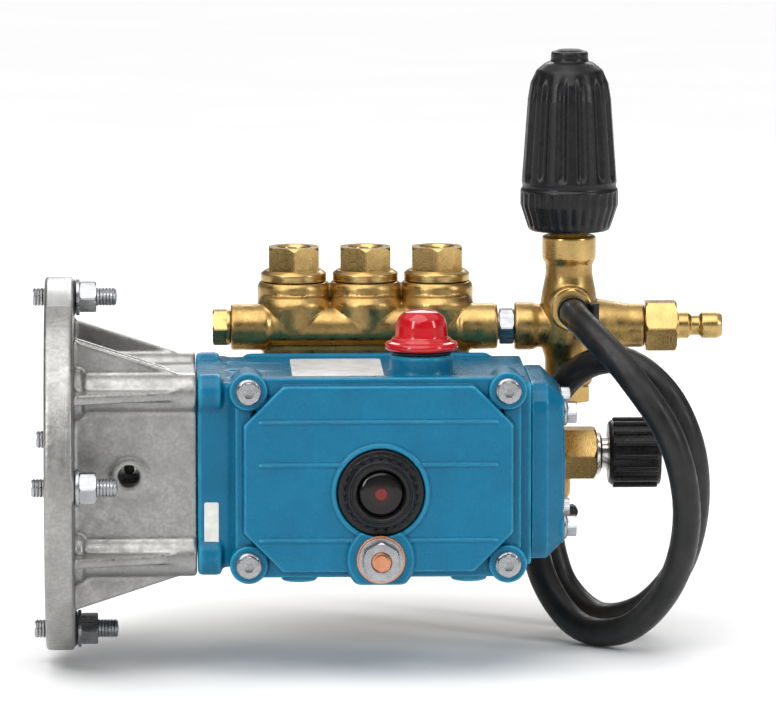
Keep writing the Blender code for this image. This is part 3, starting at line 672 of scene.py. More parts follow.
# the last two colours are the light specks with the painted edge highlight, and the painted corner shade
BLUE = enamel("blue_enamel_paint", (0.0, 0.132, 0.255), (0.05, 0.42, 0.6), (0.0, 0.025, 0.06))
FORGED = cast_metal("forged_brass", (0.52, 0.35, 0.13), (0.25, 0.15, 0.05), 0.6, 0.33, 0.05)
TURNED = turned_metal("turned_brass", (0.56, 0.385, 0.15), (0.34, 0.21, 0.07), 0.27)
BRONZE = cast_metal("cast_bronze", (0.50, 0.32, 0.16), (0.34, 0.2, 0.1), 0.6, 0.42, 0.03)
COPPER = turned_metal("copper", (0.66, 0.30, 0.17), (0.45, 0.18, 0.10), 0.3)
ZINC = brushed_metal("zinc_plate", (0.42, 0.425, 0.435), (0.26, 0.265, 0.28), 0.3)
OXIDE = brushed_metal("black_oxide", (0.05, 0.05, 0.052), (0.02, 0.02, 0.022), 0.34)
STEEL = brushed_metal("ground_steel_skin", (0.60, 0.60, 0.61), (0.45, 0.45, 0.46), 0.28)
NICKEL = turned_metal("nickel", (0.78, 0.76, 0.71), (0.62, 0.6, 0.56), 0.2)
RED = moulded("red_moulding", (0.42, 0.001, 0.006), 0.14, 1.4, 0.01, coat=0.6)
BLACK = moulded("black_moulding", (0.006, 0.006, 0.007), 0.3, 0.5, 0.03)
RUBBER = rubber_look()
CERAMIC = ceramic_look()
WINDOW = lens_look()
FOIL = foil_look()
PAPER = paper_look()

# ---------------------------------------------------------------- the drive end

FLANGE = 14  # thickness of the engine flange
COLUMN = 40  # how far a bolt column is from the shaft, sideways and up


def bell_housing():
    """The cast housing: flange, square barrel, four bolt columns and their webs."""
    low, high = span("bell_housing")
    end, rim = high.x, high.z
    half = span("crankcase")[0].y  # the barrel is as wide as the crankcase
    pilot, bore = 73, 38
    flange = turned([(0, 0), (rim, 0), (rim, FLANGE), (0, FLANGE)], axis="+X", soft=1.6, steps=160)
    corners = [(a * COLUMN, b * COLUMN) for a in (-1, 1) for b in (-1, 1)]
    joined = [block((10, half, half), (end, -half, -half), 8, "X")]
    joined += [rod(10, 10, end, (0, y, z), "+X", 1.5) for y, z in corners]
    joined += [rod(13, 10, 19, (0, y, z), "+X", 2) for y, z in corners]
    outline = [(10, 38), (10, 68), (end - 3, 48), (end - 3, 38)]
    joined += [web(outline, 5, a * COLUMN, k * math.pi / 2) for a in (-1, 1) for k in range(4)]
    outline = [(10, 38), (10, 62), (end - 14, 45.6), (end - 14, 38)]
    joined += [web(outline, 4, a * 14, k * math.pi / 2) for a in (-1, 1) for k in (0, 2)]
    hole_x = 41
    joined.append(rod(9, 43, 45.8, (hole_x, 0, 0), "-Y", 0.8))
    circle = 82.55
    bolts = [(circle, 0), (-circle, 0), (0, circle), (0, -circle)]
    seat = rim - circle - 0.6
    joined += [rod(seat, FLANGE - 1, FLANGE + 1.2, (0, y, z), "+X", 0.4) for y, z in bolts]
    cuts = [
        drill(pilot, -1, 5, axis="+X", steps=128),
        drill(bore, -2, end + 1, axis="+X", steps=96),
        drill(5.25, 35, 60, (hole_x, 0, 0), "-Y"),
    ]
    cuts += [drill(5.3, -1, 20, (0, y, z), "+X") for y, z in bolts]
    cuts += [drill(7.2, 1, 14, (0, y, z), "+X") for y, z in corners]
    cuts += [drill(4.5, 1, end + 1, (0, y, z), "+X") for y, z in corners]
    casting = cast(combine(flange, joined, cuts), 0.95, 5, 0.4)
    made = piece("bell_housing_casting", casting, ALUMINIUM, replaces=["bell_housing"])
    machined(made, MILLED, lambda c, n: n.x < -0.9)
    for number, (y, z) in enumerate(bolts, 1):
        flange_stud(number, (0, y, z))
    for number, (y, z) in enumerate(corners, 1):
        screw = rod(6.4, 4.5, 13.8, (0, y, z), "+X", 0.6)
        socket = drill(3, 3, 9, (0, y, z), "+X", 6)
        piece(f"housing_screw_{number}", combine(screw, cut=[socket]), ZINC)


def flange_stud(number, at):
    """A stud through the flange, with a washer and a nut on the pump's side."""
    seat = FLANGE + 1.3
    profile = [(0, -6), (3.9, -6), *thread(4.6, -5.5, 34.5, 1.6, 0.6), (3.9, 35), (0, 35.6)]
    piece(f"flange_stud_{number}", turned(profile, at, "+X", 0.15, 40), ZINC)
    washer = [(5, seat), (9.2, seat), (9.2, seat + 1.8), (5, seat + 1.8)]
    piece(f"flange_washer_{number}", turned(washer, at, "+X", 0.3), ZINC)
    nut = hex_head(14.3, seat + 1.9, seat + 10, at, "+X", 1.1, both=True)
    nut = combine(nut, cut=[drill(4.7, 0, 60, at, "+X")])
    piece(f"flange_nut_{number}", nut, ZINC)


def drive_shaft():
    """The crankshaft: a keyed hollow end, three eccentric journals and a solid tail."""
    low, high = span("crankshaft")
    seal, bearing, tail = span("shaft_seal"), span("drive_bearing"), span("end_bearing")
    bore = 12.8
    profile = [
        (0, low.x),
        (22, low.x),
        (22, bearing[0].x - 0.3),
        (19.5, bearing[0].x - 0.3),
        (19.5, bearing[1].x + 0.3),
        (22.5, bearing[1].x + 0.3),
        (22.5, 104),
        (10.5, 104),
        (10.5, 214),
        (14.5, 214),
        (14.5, tail[0].x - 0.3),
        (11.9, tail[0].x - 0.3),
        (11.9, tail[1].x),
        (0, tail[1].x),
    ]
    throws = []
    for number in (1, 2, 3):
        end = middle(f"connecting_rod_{number}")
        pin = crank_pin(number)
        throws.append(rod(15, end.x - 9, end.x + 9, (0, pin.y, pin.z), "+X", 0.8))
    cuts = [
        drill(bore, low.x - 1, 95, axis="+X", steps=96),
        block((low.x - 1, -3.2, 8), (90, 3.2, 16), 0.3, "X"),
        drill(2.6, 10, 24, (41, 0, 0), "-Y"),
        turned([(bore - 1, -1), (bore + 2.4, -1), (bore - 1, 2.4)], (low.x, 0, 0), "+X", 0.05),
    ]
    shaft = combine(turned(profile, axis="+X", soft=0.9), throws, cuts)
    piece("hollow_crankshaft", shaft, STEEL, "crankshaft", ["crankshaft"])
    screw = combine(rod(2.5, 14, 21.5, (41, 0, 0), "-Y", 0.3), cut=[drill(1.4, 19, 23, (41, 0, 0), "-Y", 6)])
    piece("shaft_set_screw", screw, BLACK, "crankshaft")
    lip = [
        (22.5, seal[0].x),
        (23.5, seal[0].x + 1.2),
        (27.5, seal[0].x + 1.2),
        (28, seal[0].x),
        (30, seal[0].x),
        (30, seal[1].x),
        (22.5, seal[1].x),
    ]
    piece("shaft_seal_lip", turned(lip, axis="+X", soft=0.3), RUBBER, replaces=["shaft_seal"])


def crank_pin(number):
    """The centre of a rod's big end, from the joint that the rod turns on."""
    joint = next(j for j in frame["joints"] if j["name"] == f"rod_{number}_swing")
    return Vector(joint["pos_m"]) / MM


# ---------------------------------------------------------------- the crankcase


def crankcase():
    low, high = span("crankcase")
    front, back, half = low.y, high.y, 45
    cover = span("rear_cover")
    filler = middle("oil_filler_cap")
    screws = [middle(f"cover_screw_{n}") for n in (1, 2, 3, 4)]
    band = 90  # the end of the wall that meets the bell housing
    case = block((low.x + 4, front, -half), (high.x, back, half), 3.5, "X", 1)
    feet = [(x, y) for x in (124, 207) for y in (-30, 42)]
    bore_y = 26
    joined = [block((low.x, front - 0.6, -half - 0.6), (band, back, half + 0.6), 3.5, "X", 1)]
    joined += [rod(8, -front - 24, -front, (s.x, 0, s.z), "-Y", 1) for s in screws]
    joined += [rod(9, low.z, -40, (x, y, 0), "+Z", 1) for x, y in feet]
    joined += [
        turned([(0, 40), (17.5, 40), (17.5, half + 1), (15.5, half + 3.5), (15.5, high.z), (0, high.z)],
               (filler.x, filler.y, 0), soft=1.2),
        block((98, back - 5, -half - 1.5), (222, back, half + 1.5), 3, "Y", 0.8),
    ]
    corners = [(a * COLUMN, b * COLUMN) for a in (-1, 1) for b in (-1, 1)]
    joined += [rod(9.5, low.x, 86, (0, y, z), "+X", 2) for y, z in corners]
    joined += [web([(band, 40), (band, half + 1.2), (118, half + 0.2), (118, 40)], 4, y, k)
               for y in (-24, 4, 32) for k in (0,)]
    ribs = [block((x - 2, front + 6, -half - 3), (x + 2, back - 6, -half + 2), 0.9) for x in (103, 145, 186, 228)]
    cavity = block((98, front - 2, -37), (222, bore_y, 37), 6, "Y")
    drive, tail = span("drive_bearing"), span("end_bearing")
    cuts = [
        cavity,
        drill(30.3, low.x - 2, drive[0].x + 1, axis="+X", steps=96),
        drill(31.3, drive[0].x - 0.3, 99, axis="+X", steps=96),
        drill(26.3, 221, high.x + 2, axis="+X", steps=96),
        drill(11.4, 30, high.z + 1, (filler.x, filler.y, 0)),
    ]
    for number in (1, 2, 3):
        x = middle(f"plunger_packing_{number}").x
        cuts.append(drill(14.4, bore_y - 1, back + 1, (x, 0, 0), "+Y", 48))
    cuts += [drill(3.3, -front - 20, -front + 2, (s.x, 0, s.z), "-Y") for s in screws]
    cuts += [drill(3.4, low.z - 1, low.z + 10, (x, y, 0)) for x, y in feet]
    casting = cast(combine(case, joined + ribs, cuts), 0.95, 4, 0.38)
    piece("crankcase_casting", casting, BLUE, replaces=["crankcase"])
    label = block((121, cover[1].y + 8, half + 0.05), (166, back - 16, half + 0.45), 3, "Z")
    piece("blank_foil_label", label, FOIL)
    sticker = block((77.5, front - 1.0, -38), (84.5, front - 0.65, -13), 0.8, "Y")
    piece("blank_sticker", sticker, PAPER)


def rear_cover():
    """A plate with four screw ears and a raised eight-sided panel, ribbed along its length."""
    low, high = span("rear_cover")
    joint = high.y
    plate_face, panel_face = -54, -60
    screws = [middle(f"cover_screw_{n}") for n in (1, 2, 3, 4)]
    centre = (screws[0].x + screws[3].x) / 2
    gauge, drain = middle("sight_gauge"), middle("drain_plug")
    half_x, half_z = 69.5, 49
    plate = block((centre - half_x, plate_face, -half_z), (centre + half_x, joint, half_z), 8, "Y", 1)
    joined = [
        octagon((centre - 65.5, panel_face, -45.5), (centre + 65.5, plate_face + 2, 45.5), 19, 1.1),
        turned([(0, -joint), (17.5, -joint), (17.5, -panel_face - 2), (16, -low.y), (0, -low.y)],
               (drain.x, 0, drain.z), "-Y", 1),
    ]
    joined += [rod(9.3, -joint, -plate_face + 2.5, (s.x, 0, s.z), "-Y", 1) for s in screws]
    joined += [block((centre - 58, panel_face - 0.7, z - 0.6), (centre + 58, panel_face + 1, z + 0.6), 0.4)
               for z in (28, 7, -30)]
    at = (gauge.x, 0, gauge.z)
    gauge_rim = [(21.8, -panel_face - 1), (23.8, -panel_face - 1), (23.8, -panel_face + 0.9), (21.8, -panel_face + 0.9)]
    joined.append(turned(gauge_rim, at, "-Y", 0.5))
    cuts = [
        block((100, panel_face + 5, -35), (224, joint + 1, 35), 6, "Y"),
        drill(21.5, -panel_face - 2.5, -panel_face + 4, at, "-Y", 96),
        drill(14, 40, 70, at, "-Y", 72),
        drill(6.4, 40, 70, (drain.x, 0, drain.z), "-Y"),
        block((drain.x - 20, -70, -60), (drain.x + 20, -40, -half_z - 2.6), 0.2),
    ]
    cuts += [drill(3.4, 40, 60, (s.x, 0, s.z), "-Y") for s in screws]
    casting = cast(combine(plate, joined, cuts), 0.55, 3, 0.4)
    piece("rear_cover_casting", casting, BLUE, replaces=["rear_cover"])


def cover_fittings():
    """The cover's screws, its oil gauge and its drain plug."""
    for number in (1, 2, 3, 4):
        low, high = span(f"cover_screw_{number}")
        at = ((low.x + high.x) / 2, 0, (low.z + high.z) / 2)
        seat = -low.y - 7.4
        profile = [(0, -high.y), (3, -high.y), (3, seat), (6.4, seat), (6.4, seat + 1.2), (5.4, seat + 2.2),
                   (0, seat + 2.2)]
        head = hex_head(10, seat + 1.2, -low.y, at, "-Y", 0.9)
        socket = drill(2.6, -low.y - 2.2, -low.y + 1, at, "-Y", 6)
        screw = combine(turned(profile, at, "-Y", 0.3), [head], [socket])
        piece(f"cover_screw_{number}_detailed", screw, ZINC,
              replaces=[f"cover_screw_{number}"])
    gauge()
    drain_plug()


def gauge():
    low, high = span("sight_gauge")
    at = ((low.x + high.x) / 2, 0, (low.z + high.z) / 2)
    top, seat = -low.y, -low.y - 9
    bezel = [
        (0, -high.y),
        (13.6, -high.y),
        (13.6, seat),
        (20.8, seat),
        (20.8, seat + 3.2),
        (18.2, seat + 3.6),
        (17.6, seat + 6),
        (16, top),
        (15.3, top),
        (15, top - 0.7),
        (14.2, top - 0.7),
        (13.9, top),
        (12.5, top),
        (11.6, top - 1.6),
        (11.2, top - 4),
        (0, top - 4),
    ]
    steps = [drill(1.4, seat + 3.4, top + 2, (at[0] + 17.9 * math.sin(a), 0, at[2] + 17.9 * math.cos(a)), "-Y", 16)
             for a in (2 * math.pi * k / 24 for k in range(24))]
    made = combine(turned(bezel, at, "-Y", 0.6), cut=steps)
    piece("sight_gauge_bezel", made, BLACK, replaces=["sight_gauge"])
    glass = [(0, top - 3.9), (11, top - 3.9), (10.9, top - 2.4), (9, top - 1.5), (6.3, top - 1.1), (0, top - 0.5)]
    piece("sight_gauge_window", turned(glass, at, "-Y", 0.6), WINDOW, replaces=["sight_lens"])


def drain_plug():
    low, high = span("drain_plug")
    at = ((low.x + high.x) / 2, 0, (low.z + high.z) / 2)
    face = -span("rear_cover")[0].y
    washer = [(6.5, face + 0.05), (11.8, face + 0.05), (11.8, face + 1.25), (6.5, face + 1.25)]
    piece("drain_washer", turned(washer, at, "-Y", 0.3), COPPER)
    seat = face + 1.3
    shank = [(0, -high.y), (6, -high.y), (6, seat), (10.8, seat), (10.8, seat + 1.6), (0, seat + 1.6)]
    head = hex_head(17, seat + 1.2, -low.y, at, "-Y", 1.3)
    plug = combine(turned(shank, at, "-Y", 0.3), [head], [drill(5.2, -low.y - 1.6, -low.y + 2, at, "-Y", 48)])
    piece("drain_plug_detailed", plug, ZINC, replaces=["drain_plug"])
    cap = [(0, -low.y - 1.5), (5.1, -low.y - 1.5), (5.1, -low.y - 0.9), (3.2, -low.y - 0.3), (0, -low.y - 0.3)]
    piece("drain_plug_magnet_cap", turned(cap, at, "-Y", 0.3), COPPER)


def filler_cap():
    """A glossy red cap with a rounded rim, on its seal."""
    low, high = span("oil_filler_cap")
    seal_low, seal_high = span("filler_cap_seal")
    at = ((low.x + high.x) / 2, (low.y + high.y) / 2, 0)
    ring = [(11.6, seal_low.z), (15, seal_low.z), (15.4, (seal_low.z + seal_high.z) / 2), (15, seal_high.z),
            (11.6, seal_high.z)]
    piece("filler_cap_ring", turned(ring, at, soft=0.4), RUBBER, "filler_seal", ["filler_cap_seal"])
    rim = seal_high.z + 0.3
    profile = [
        (0, low.z),
        (9.5, low.z),
        *thread(11, low.z + 0.5, rim - 1, 2, 1),
        (10.4, rim),
        (17.8, rim),
        (18, rim + 2.4),
        (17.2, rim + 3.6),
        (15.2, rim + 4.1),
        (14.4, rim + 5.4),
        (12.9, rim + 6.2),
        (12.5, rim + 12),
        (11.4, rim + 15.6),
        (8, rim + 18.6),
        (0, high.z),
    ]
    cap = turned(profile, at, soft=1.1, steps=96)
    piece("oil_filler_cap_moulding", cap, RED, "filler_cap", ["oil_filler_cap"])


def bearing_cover():
    low, high = span("bearing_cover")
    bm = bmesh.new()
    size = (high - low) * MM
    bmesh.ops.create_cube(bm, size=1, matrix=Matrix.Diagonal((*size, 1)))
    corners = [e for e in bm.edges if abs((e.verts[0].co - e.verts[1].co).x) > 1e-6]
    bmesh.ops.bevel(bm, geom=corners, offset=14 * MM, segments=4, profile=0.5, affect="EDGES")
    face = max(bm.faces, key=lambda f: f.calc_center_median().x)
    bmesh.ops.bevel(bm, geom=face.edges[:], offset=8 * MM, segments=1, affect="EDGES")
    cover = shape(bm, (low + high) / 2)
    joined = [rod(31, high.x - 2, high.x + 1.4, axis="+X", soft=1.2)]
    joined += [rod(8.5, high.x - 8, high.x + 0.6, (0, a * 28, b * 28), "+X", 1) for a in (-1, 1) for b in (-1, 1)]
    cuts = [drill(25, high.x + 0.4, high.x + 4, axis="+X", steps=72)]
    casting = cast(combine(cover, joined, cuts), 0.6, 5, 0.4)
    piece("bearing_cover_casting", casting, BLUE, replaces=["bearing_cover"])
    corners = [(a * 28, b * 28) for a in (-1, 1) for b in (-1, 1)]
    for number, (y, z) in enumerate(corners, 1):
        bolt(f"bearing_cover_bolt_{number}", 10, 6.2, (high.x + 0.7, y, z), "+X")


def bolt(name, across, height, at, axis):
    """A hexagon flange bolt's head, standing on a face."""
    head = hex_head(across, 1.2, height, at, axis, 0.8)
    skirt = turned([(0, 0), (across * 0.66, 0), (across * 0.64, 1.1), (across * 0.5, 2), (0, 2)], at, axis, 0.3)
    dish = turned([(0, height - 0.8), (across * 0.34, height + 0.1), (0, height + 0.4)], at, axis, 0.05)
    piece(name, combine(skirt, [head], [dish]), ZINC)


# ---------------------------------------------------------------- the brass head


def brass_head():
    """The forged manifold, with its valve bosses, two galleries and their ends."""
    low, high = span("manifold_head")
    ups = [middle(f"discharge_valve_{n}") for n in (1, 2, 3)]
    up_y, up_top = ups[0].y, high.z
    gallery = middle("discharge_gallery_plug")
    inlet = middle("inlet_gallery_plug")
    front, back = low.y, 104
    left, right = ups[0].x - 22, ups[2].x + 22
    gallery_left, gallery_right = 92, 226
    centres = [u.x for u in ups]
    at, inlet_at = (0, gallery.y, gallery.z), (0, inlet.y, inlet.z)
    head = block((left, front, low.z + 0.5), (right, back, 40), 4, None)
    joined = []
    for x in centres:
        boss = [(0, 20), (13, 34), (16, 50), (18.3, 66), (18.3, up_top - 2.5), (17, up_top), (0, up_top)]
        joined.append(turned(boss, (x, up_y, 0), soft=2))
        joined.append(rod(14, 20, 60, (x, up_y, 0), "+Z", 2))
        taper = [(0, 44), (10, 49), (16.3, 57), (18.2, 68), (18.2, 70), (16, 73.5), (0, 73.5)]
        joined.append(turned(taper, (x, up_y - 6, 0), soft=1))
        boss = [(0, back - 9), (18.5, back - 9), (17.5, back + 6), (17.5, high.y), (0, high.y)]
        joined.append(turned(boss, (x, 0, 0), "+Y", soft=1.5))
    joined += [
        rod(10, gallery_left + 5, gallery_right - 5, at, "+X", 2),
        turned([(0, gallery_left), (11.5, gallery_left), (11.5, gallery_left + 18), (9, gallery_left + 22),
                (0, gallery_left + 22)], at, "+X", 1.2),
        turned([(0, gallery_right - 22), (9, gallery_right - 22), (11.5, gallery_right - 18),
                (11.5, gallery_right), (0, gallery_right)], at, "+X", 1.2),
        rod(14.5, left - 4, 240, inlet_at, "+X", 1.5),
        block((left + 6, front + 6, 34), (right - 6, up_y, gallery.z), 4, None),
    ]
    cuts = []
    for x in centres:
        cuts += [
            drill(11, 20, up_top + 2, (x, up_y, 0)),
            drill(7, 2, 22, (x, up_y, 0)),
            drill(13.8, front - 2, 80, (x, 0, 0), "+Y", 48),
            drill(8.6, 79, 101, (x, 0, 0), "+Y"),
            drill(6.5, 100, 105, (x, 0, 0), "+Y"),
            drill(11, 104, high.y + 2, (x, 0, 0), "+Y"),
        ]
    cuts += [
        drill(8.4, gallery_left - 1, gallery_left + 12, at, "+X"),
        drill(6, gallery_left + 11, gallery_right - 11, at, "+X"),
        drill(8.4, gallery_right - 12, gallery_right + 1, at, "+X"),
        drill(8.5, left + 5, 229, inlet_at, "+X"),
        drill(10.4, left - 5, left + 6, inlet_at, "+X"),
        drill(10.4, 228, 241, inlet_at, "+X"),
    ]
    casting = cast(combine(head, joined, cuts), 0.62, 5, 0.4)
    made = piece("brass_head_forging", casting, FORGED, replaces=["manifold_head"])
    ends = (gallery_left + 0.6, gallery_right - 0.6)
    machined(made, TURNED, lambda c, n: (n.z > 0.9 and c.z > up_top - 0.8) or (n.y > 0.9 and c.y > high.y - 0.8)
             or (abs(n.x) > 0.9 and (c.x < ends[0] or c.x > ends[1])))
    for number, x in enumerate((106, 142, 178, 214), 1):
        screw = rod(6.5, 0, 8, (x, back, 31), "+Y", 0.7)
        socket = drill(3.4, 4, 9, (x, back, 31), "+Y", 6)
        piece(f"head_screw_{number}", combine(screw, cut=[socket]), ZINC)


def valves():
    """The valves' caps, and the springs under them."""
    for number in (1, 2, 3):
        low, high = span(f"discharge_valve_plug_{number}")
        at = ((low.x + high.x) / 2, (low.y + high.y) / 2, 0)
        cap = valve_cap(at, "+Z", low.z, high.z)
        piece(f"discharge_valve_cap_{number}", cap, TURNED, replaces=[f"discharge_valve_plug_{number}"])
        poppet = span(f"discharge_valve_{number}")
        coil = spring(4.4, 0.6, poppet[1].z - 11.2, low.z - 0.2, 7, at)
        coil = piece(f"discharge_spring_{number}", coil, STEEL)
        squeeze(coil)
        low, high = span(f"inlet_valve_plug_{number}")
        at = ((low.x + high.x) / 2, 0, (low.z + high.z) / 2)
        cap = valve_cap(at, "+Y", low.y, high.y)
        piece(f"inlet_valve_cap_{number}", cap, TURNED, replaces=[f"inlet_valve_plug_{number}"])


def squeeze(coil):
    """Gives a spring its own copy of its mesh."""
    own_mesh(coil)


def valve_cap(at, axis, start, end):
    """A hexagon cap on a round flange, with a dished top and its threaded plug below."""
    seat = end - 17
    profile = [
        (0, start),
        (9.6, start),
        *thread(10.6, start + 0.5, seat - 1.2, 1.6, 0.7),
        (9.8, seat),
        (16.5, seat),
        (16.5, seat + 3.6),
        (14.2, seat + 5.4),
        (0, seat + 5.4),
    ]
    head = hex_head(25, seat + 4.5, end, at, axis, 2.2)
    dish = [(0, end - 5), (7.2, end - 5), (7.6, end - 1.2), (9.4, end + 0.6), (0, end + 0.6)]
    cap = combine(turned(profile, at, axis, 0.35), [head], [turned(dish, at, axis, 0.4)])
    nub = turned([(0, end - 5.5), (3.2, end - 5.5), (2.8, end - 3.4), (0, end - 3.2)], at, axis, 0.4)
    return combine(cap, [nub])


def gallery_plugs():
    for name, across, radius in (("discharge_gallery_plug", 17, 8), ("inlet_gallery_plug", 22, 10)):
        low, high = span(name)
        at = (0, (low.y + high.y) / 2, (low.z + high.z) / 2)
        face = {"discharge_gallery_plug": 92, "inlet_gallery_plug": 98}[name]
        shank = [(0, high.x), (radius - 0.7, high.x), (radius, high.x - 1), (radius, face - 0.3),
                 (across / 2 + 0.6, face - 0.3), (across / 2 + 0.6, face - 2.2), (0, face - 2.2)]
        shank = [(r, -h) for r, h in shank]
        head = hex_head(across, -face + 1.8, -low.x, at, "-X", 1.2)
        dish = turned([(0, -low.x - 2.4), (across * 0.22, -low.x - 2.4), (across * 0.3, -low.x + 0.3),
                       (0, -low.x + 0.3)], at, "-X", 0.3)
        plug = combine(turned(shank, at, "-X", 0.3), [head], [dish])
        piece(name + "_detailed", plug, TURNED, replaces=[name])


# ---------------------------------------------------------------- the unloader and outlet


def nipple():
    low, high = span("discharge_nipple")
    at = (0, (low.y + high.y) / 2, (low.z + high.z) / 2)
    profile = [
        (0, low.x),
        (7, low.x),
        *thread(7.9, low.x + 0.5, 226, 1.5, 0.8),
        (6.8, 227),
        (6.8, 234),
        *thread(7.9, 234.2, high.x - 1, 1.5, 0.8),
        (0, high.x),
    ]
    nut = hex_head(17, 227, 234, at, "+X", 1, both=True)
    body = combine(turned(profile, at, "+X", 0.15), [nut], [drill(4.5, low.x - 1, high.x + 1, at, "+X")])
    piece("discharge_nipple_detailed", body, ZINC, replaces=["discharge_nipple"])


def unloader():
    """The forged unloader body, with its thread, end plug and knob."""
    low, high = span("unloader_body")
    cross = middle("discharge_nipple")
    bypass = middle("bypass_barb")
    x, y = middle("unloader_spring_seat").xy
    at = (x, y, 0)
    gallery, front = (0, cross.y, cross.z), (x, 0, bypass.z)
    top = 104
    barrel = [
        (0, low.z),
        (10.5, low.z),
        (12, low.z + 2),
        (12, 42),
        (14.6, 50),
        (14.8, 66),
        (13.4, 76),
        (11.8, 84),
        (11.8, 90),
        (13.5, 92),
        (13.5, top),
        (9.9, top),
        (9.9, high.z),
        (0, high.z),
    ]
    joined = [
        turned([(0, low.x), (11.4, low.x), (12, low.x + 1), (12, low.x + 9), (10.8, low.x + 12),
                (11.5, x + 1.3), (0, x + 1.3)], gallery, "+X", 0.8),
        turned([(0, x - 1.1), (14, x + 4), (13.4, x + 16), (11, x + 30), (11, 300), (0, 300)], gallery, "+X", 2),
        turned([(0, -y - 1.7), (11.5, -y + 1), (10.4, -56), (10.4, -55), (11, -54), (11, -50), (0, -50)],
               front, "-Y", 0.8),
        block((x - 10, y - 9, cross.z - 9), (x + 10, y + 11, cross.z + 12), 5, None),
    ]
    cuts = [
        drill(8, 41, high.z + 2, at),
        drill(9, low.z - 1, 42, at),
        drill(8.4, low.x - 2, low.x + 10.5, gallery, "+X"),
        drill(8.4, 289, 301, gallery, "+X"),
        drill(7.4, -58, -49, front, "-Y"),
    ]
    casting = cast(combine(turned(barrel, at, soft=1.5), joined, cuts), 0.4, 6, 0.35)
    made = piece("unloader_forging", casting, FORGED, replaces=["unloader_body"])
    machined(made, TURNED, lambda c, n: c.z > 91.5 or (n.y < -0.9 and c.y < -49) or c.x > 299.4)
    sleeve = [(10, top + 0.2), *thread(11.2, top + 0.6, high.z - 0.4, 1.5, 0.9), (10, high.z)]
    piece("unloader_thread", turned(sleeve, at, soft=0.1), TURNED)
    low, high = span("unloader_spring")
    coil = spring(high.x - x - 1, 0.95, low.z, high.z, 8, at)
    piece("unloader_spring_coil", coil, STEEL, replaces=["unloader_spring"])
    squeeze(coil)
    low, high = span("unloader_end_plug")
    plug = [(0, 27.7), (10, 27.7), (10, 29.5), (8.6, 29.5), (8.6, high.z), (0, high.z)]
    head = hex_head(20, -27.7, -low.z, at, "-Z", 1.2)
    made = combine(head, [turned(plug, at, soft=0.2)])
    piece("unloader_end_plug_detailed", made, TURNED, replaces=["unloader_end_plug"])
    knob()


def knob():
    """The pressure knob: grip flutes up its body, fine ribs round its skirt and a small round top."""
    low, high = span("unloader_knob")
    at = ((low.x + high.x) / 2, (low.y + high.y) / 2, 0)
    base = low.z
    bore = 11.9
    profile = [
        (bore, base),
        (19.6, base),
        (20.6, base + 1),
        (24.2, base + 12),
        (24.5, base + 13),
        (24.5, base + 20.5),
        (23.6, base + 21.6),
        (23.6, base + 23.4),
        (23.9, base + 24.4),
        (22.4, base + 45),
        (20.9, base + 66),
        (19.6, base + 74),
        (16.6, base + 80.5),
        (12, base + 84.2),
        (9.6, base + 85),
        (9.3, base + 86.4),
        (9.3, high.z - 0.8),
        (8.4, high.z),
        (0, high.z),
        (0, base + 32),
        (bore, base + 32),
    ]
    count = 180
    bm = bmesh.new()
    points = []
    eased = soften(profile, 0.9, True)
    for a, b in zip(eased, [*eased[1:], eased[0]]):
        pieces = max(1, round((b - a).length / 1.2))
        points += [a.lerp(b, k / pieces) for k in range(pieces)]
    rows = []
    for angle in (2 * math.pi * k / count for k in range(count)):
        row = []
        for r, h in points:
            r -= flute_depth(r, h - base, angle) if r > 13 else 0
            row.append(bm.verts.new((r * math.cos(angle) * MM, r * math.sin(angle) * MM, h * MM)))
        rows.append(row)
    for a, b in zip(rows, [*rows[1:], rows[0]]):
        for i in range(len(points)):
            j = (i + 1) % len(points)
            bm.faces.new((a[i], b[i], b[j], a[j]))
    bmesh.ops.remove_doubles(bm, verts=bm.verts, dist=1e-6)
    bmesh.ops.recalc_face_normals(bm, faces=bm.faces)
    body = combine(shape(bm, at), cut=[drill(3.9, base + 30, 139, at)])
    piece("unloader_knob_moulding", body, BLACK, "pressure_knob", ["unloader_knob"], sharp=60)
    cap = [(0, high.z - 0.6), (6.6, high.z - 0.6), (6.6, high.z + 0.3), (5.6, high.z + 0.8), (0, high.z + 0.8)]
    piece("unloader_knob_cap", turned(cap, at, soft=0.3), BLACK, "pressure_knob")


def flute_depth(radius, height, angle):
    """How deep the knob's grip is cut at a height above its foot and an angle round it."""
    grips, ribs = 14, 28
    if 25 < height < 79:
        ends = min(1, (height - 25) / 3, (79 - height) / 8)
        wave = math.cos(angle * grips)
        return 1.9 * ends * max(0, (wave + 0.1) / 1.1) ** 0.7
    if 2 < height < 20:
        ends = min(1, (height - 2) / 1.5, (20 - height) / 1.5)
        wave = math.cos(angle * ribs)
        return 0.9 * ends * max(0, wave) ** 0.8
    return 0


def outlet():
    """The outlet: a hexagon adapter with a quick-connect nose."""
    low, high = span("outlet_plug")
    at = (0, (low.y + high.y) / 2, (low.z + high.z) / 2)
    nose = [
        (0, low.x),
        (7.4, low.x),
        *thread(8, low.x + 0.4, 300, 1.5, 0.6),
        (7.4, 301),
        (8, 302),
        (8, 315),
        (6.6, 317),
        (6.6, 322),
        (5, 323.5),
        (5, 327.5),
        (6.6, 329),
        (6.6, high.x - 2.5),
        (5.4, high.x),
        (0, high.x),
    ]
    nut = hex_head(24, 300.3, 316, at, "+X", 1.6, both=True)
    bore = drill(3.5, low.x - 1, high.x + 1, at, "+X")
    made = combine(turned(nose, at, "+X", 0.35), [nut], [bore])
    piece("outlet_nose", made, TURNED, replaces=["outlet_plug"])


# ---------------------------------------------------------------- the inlet side


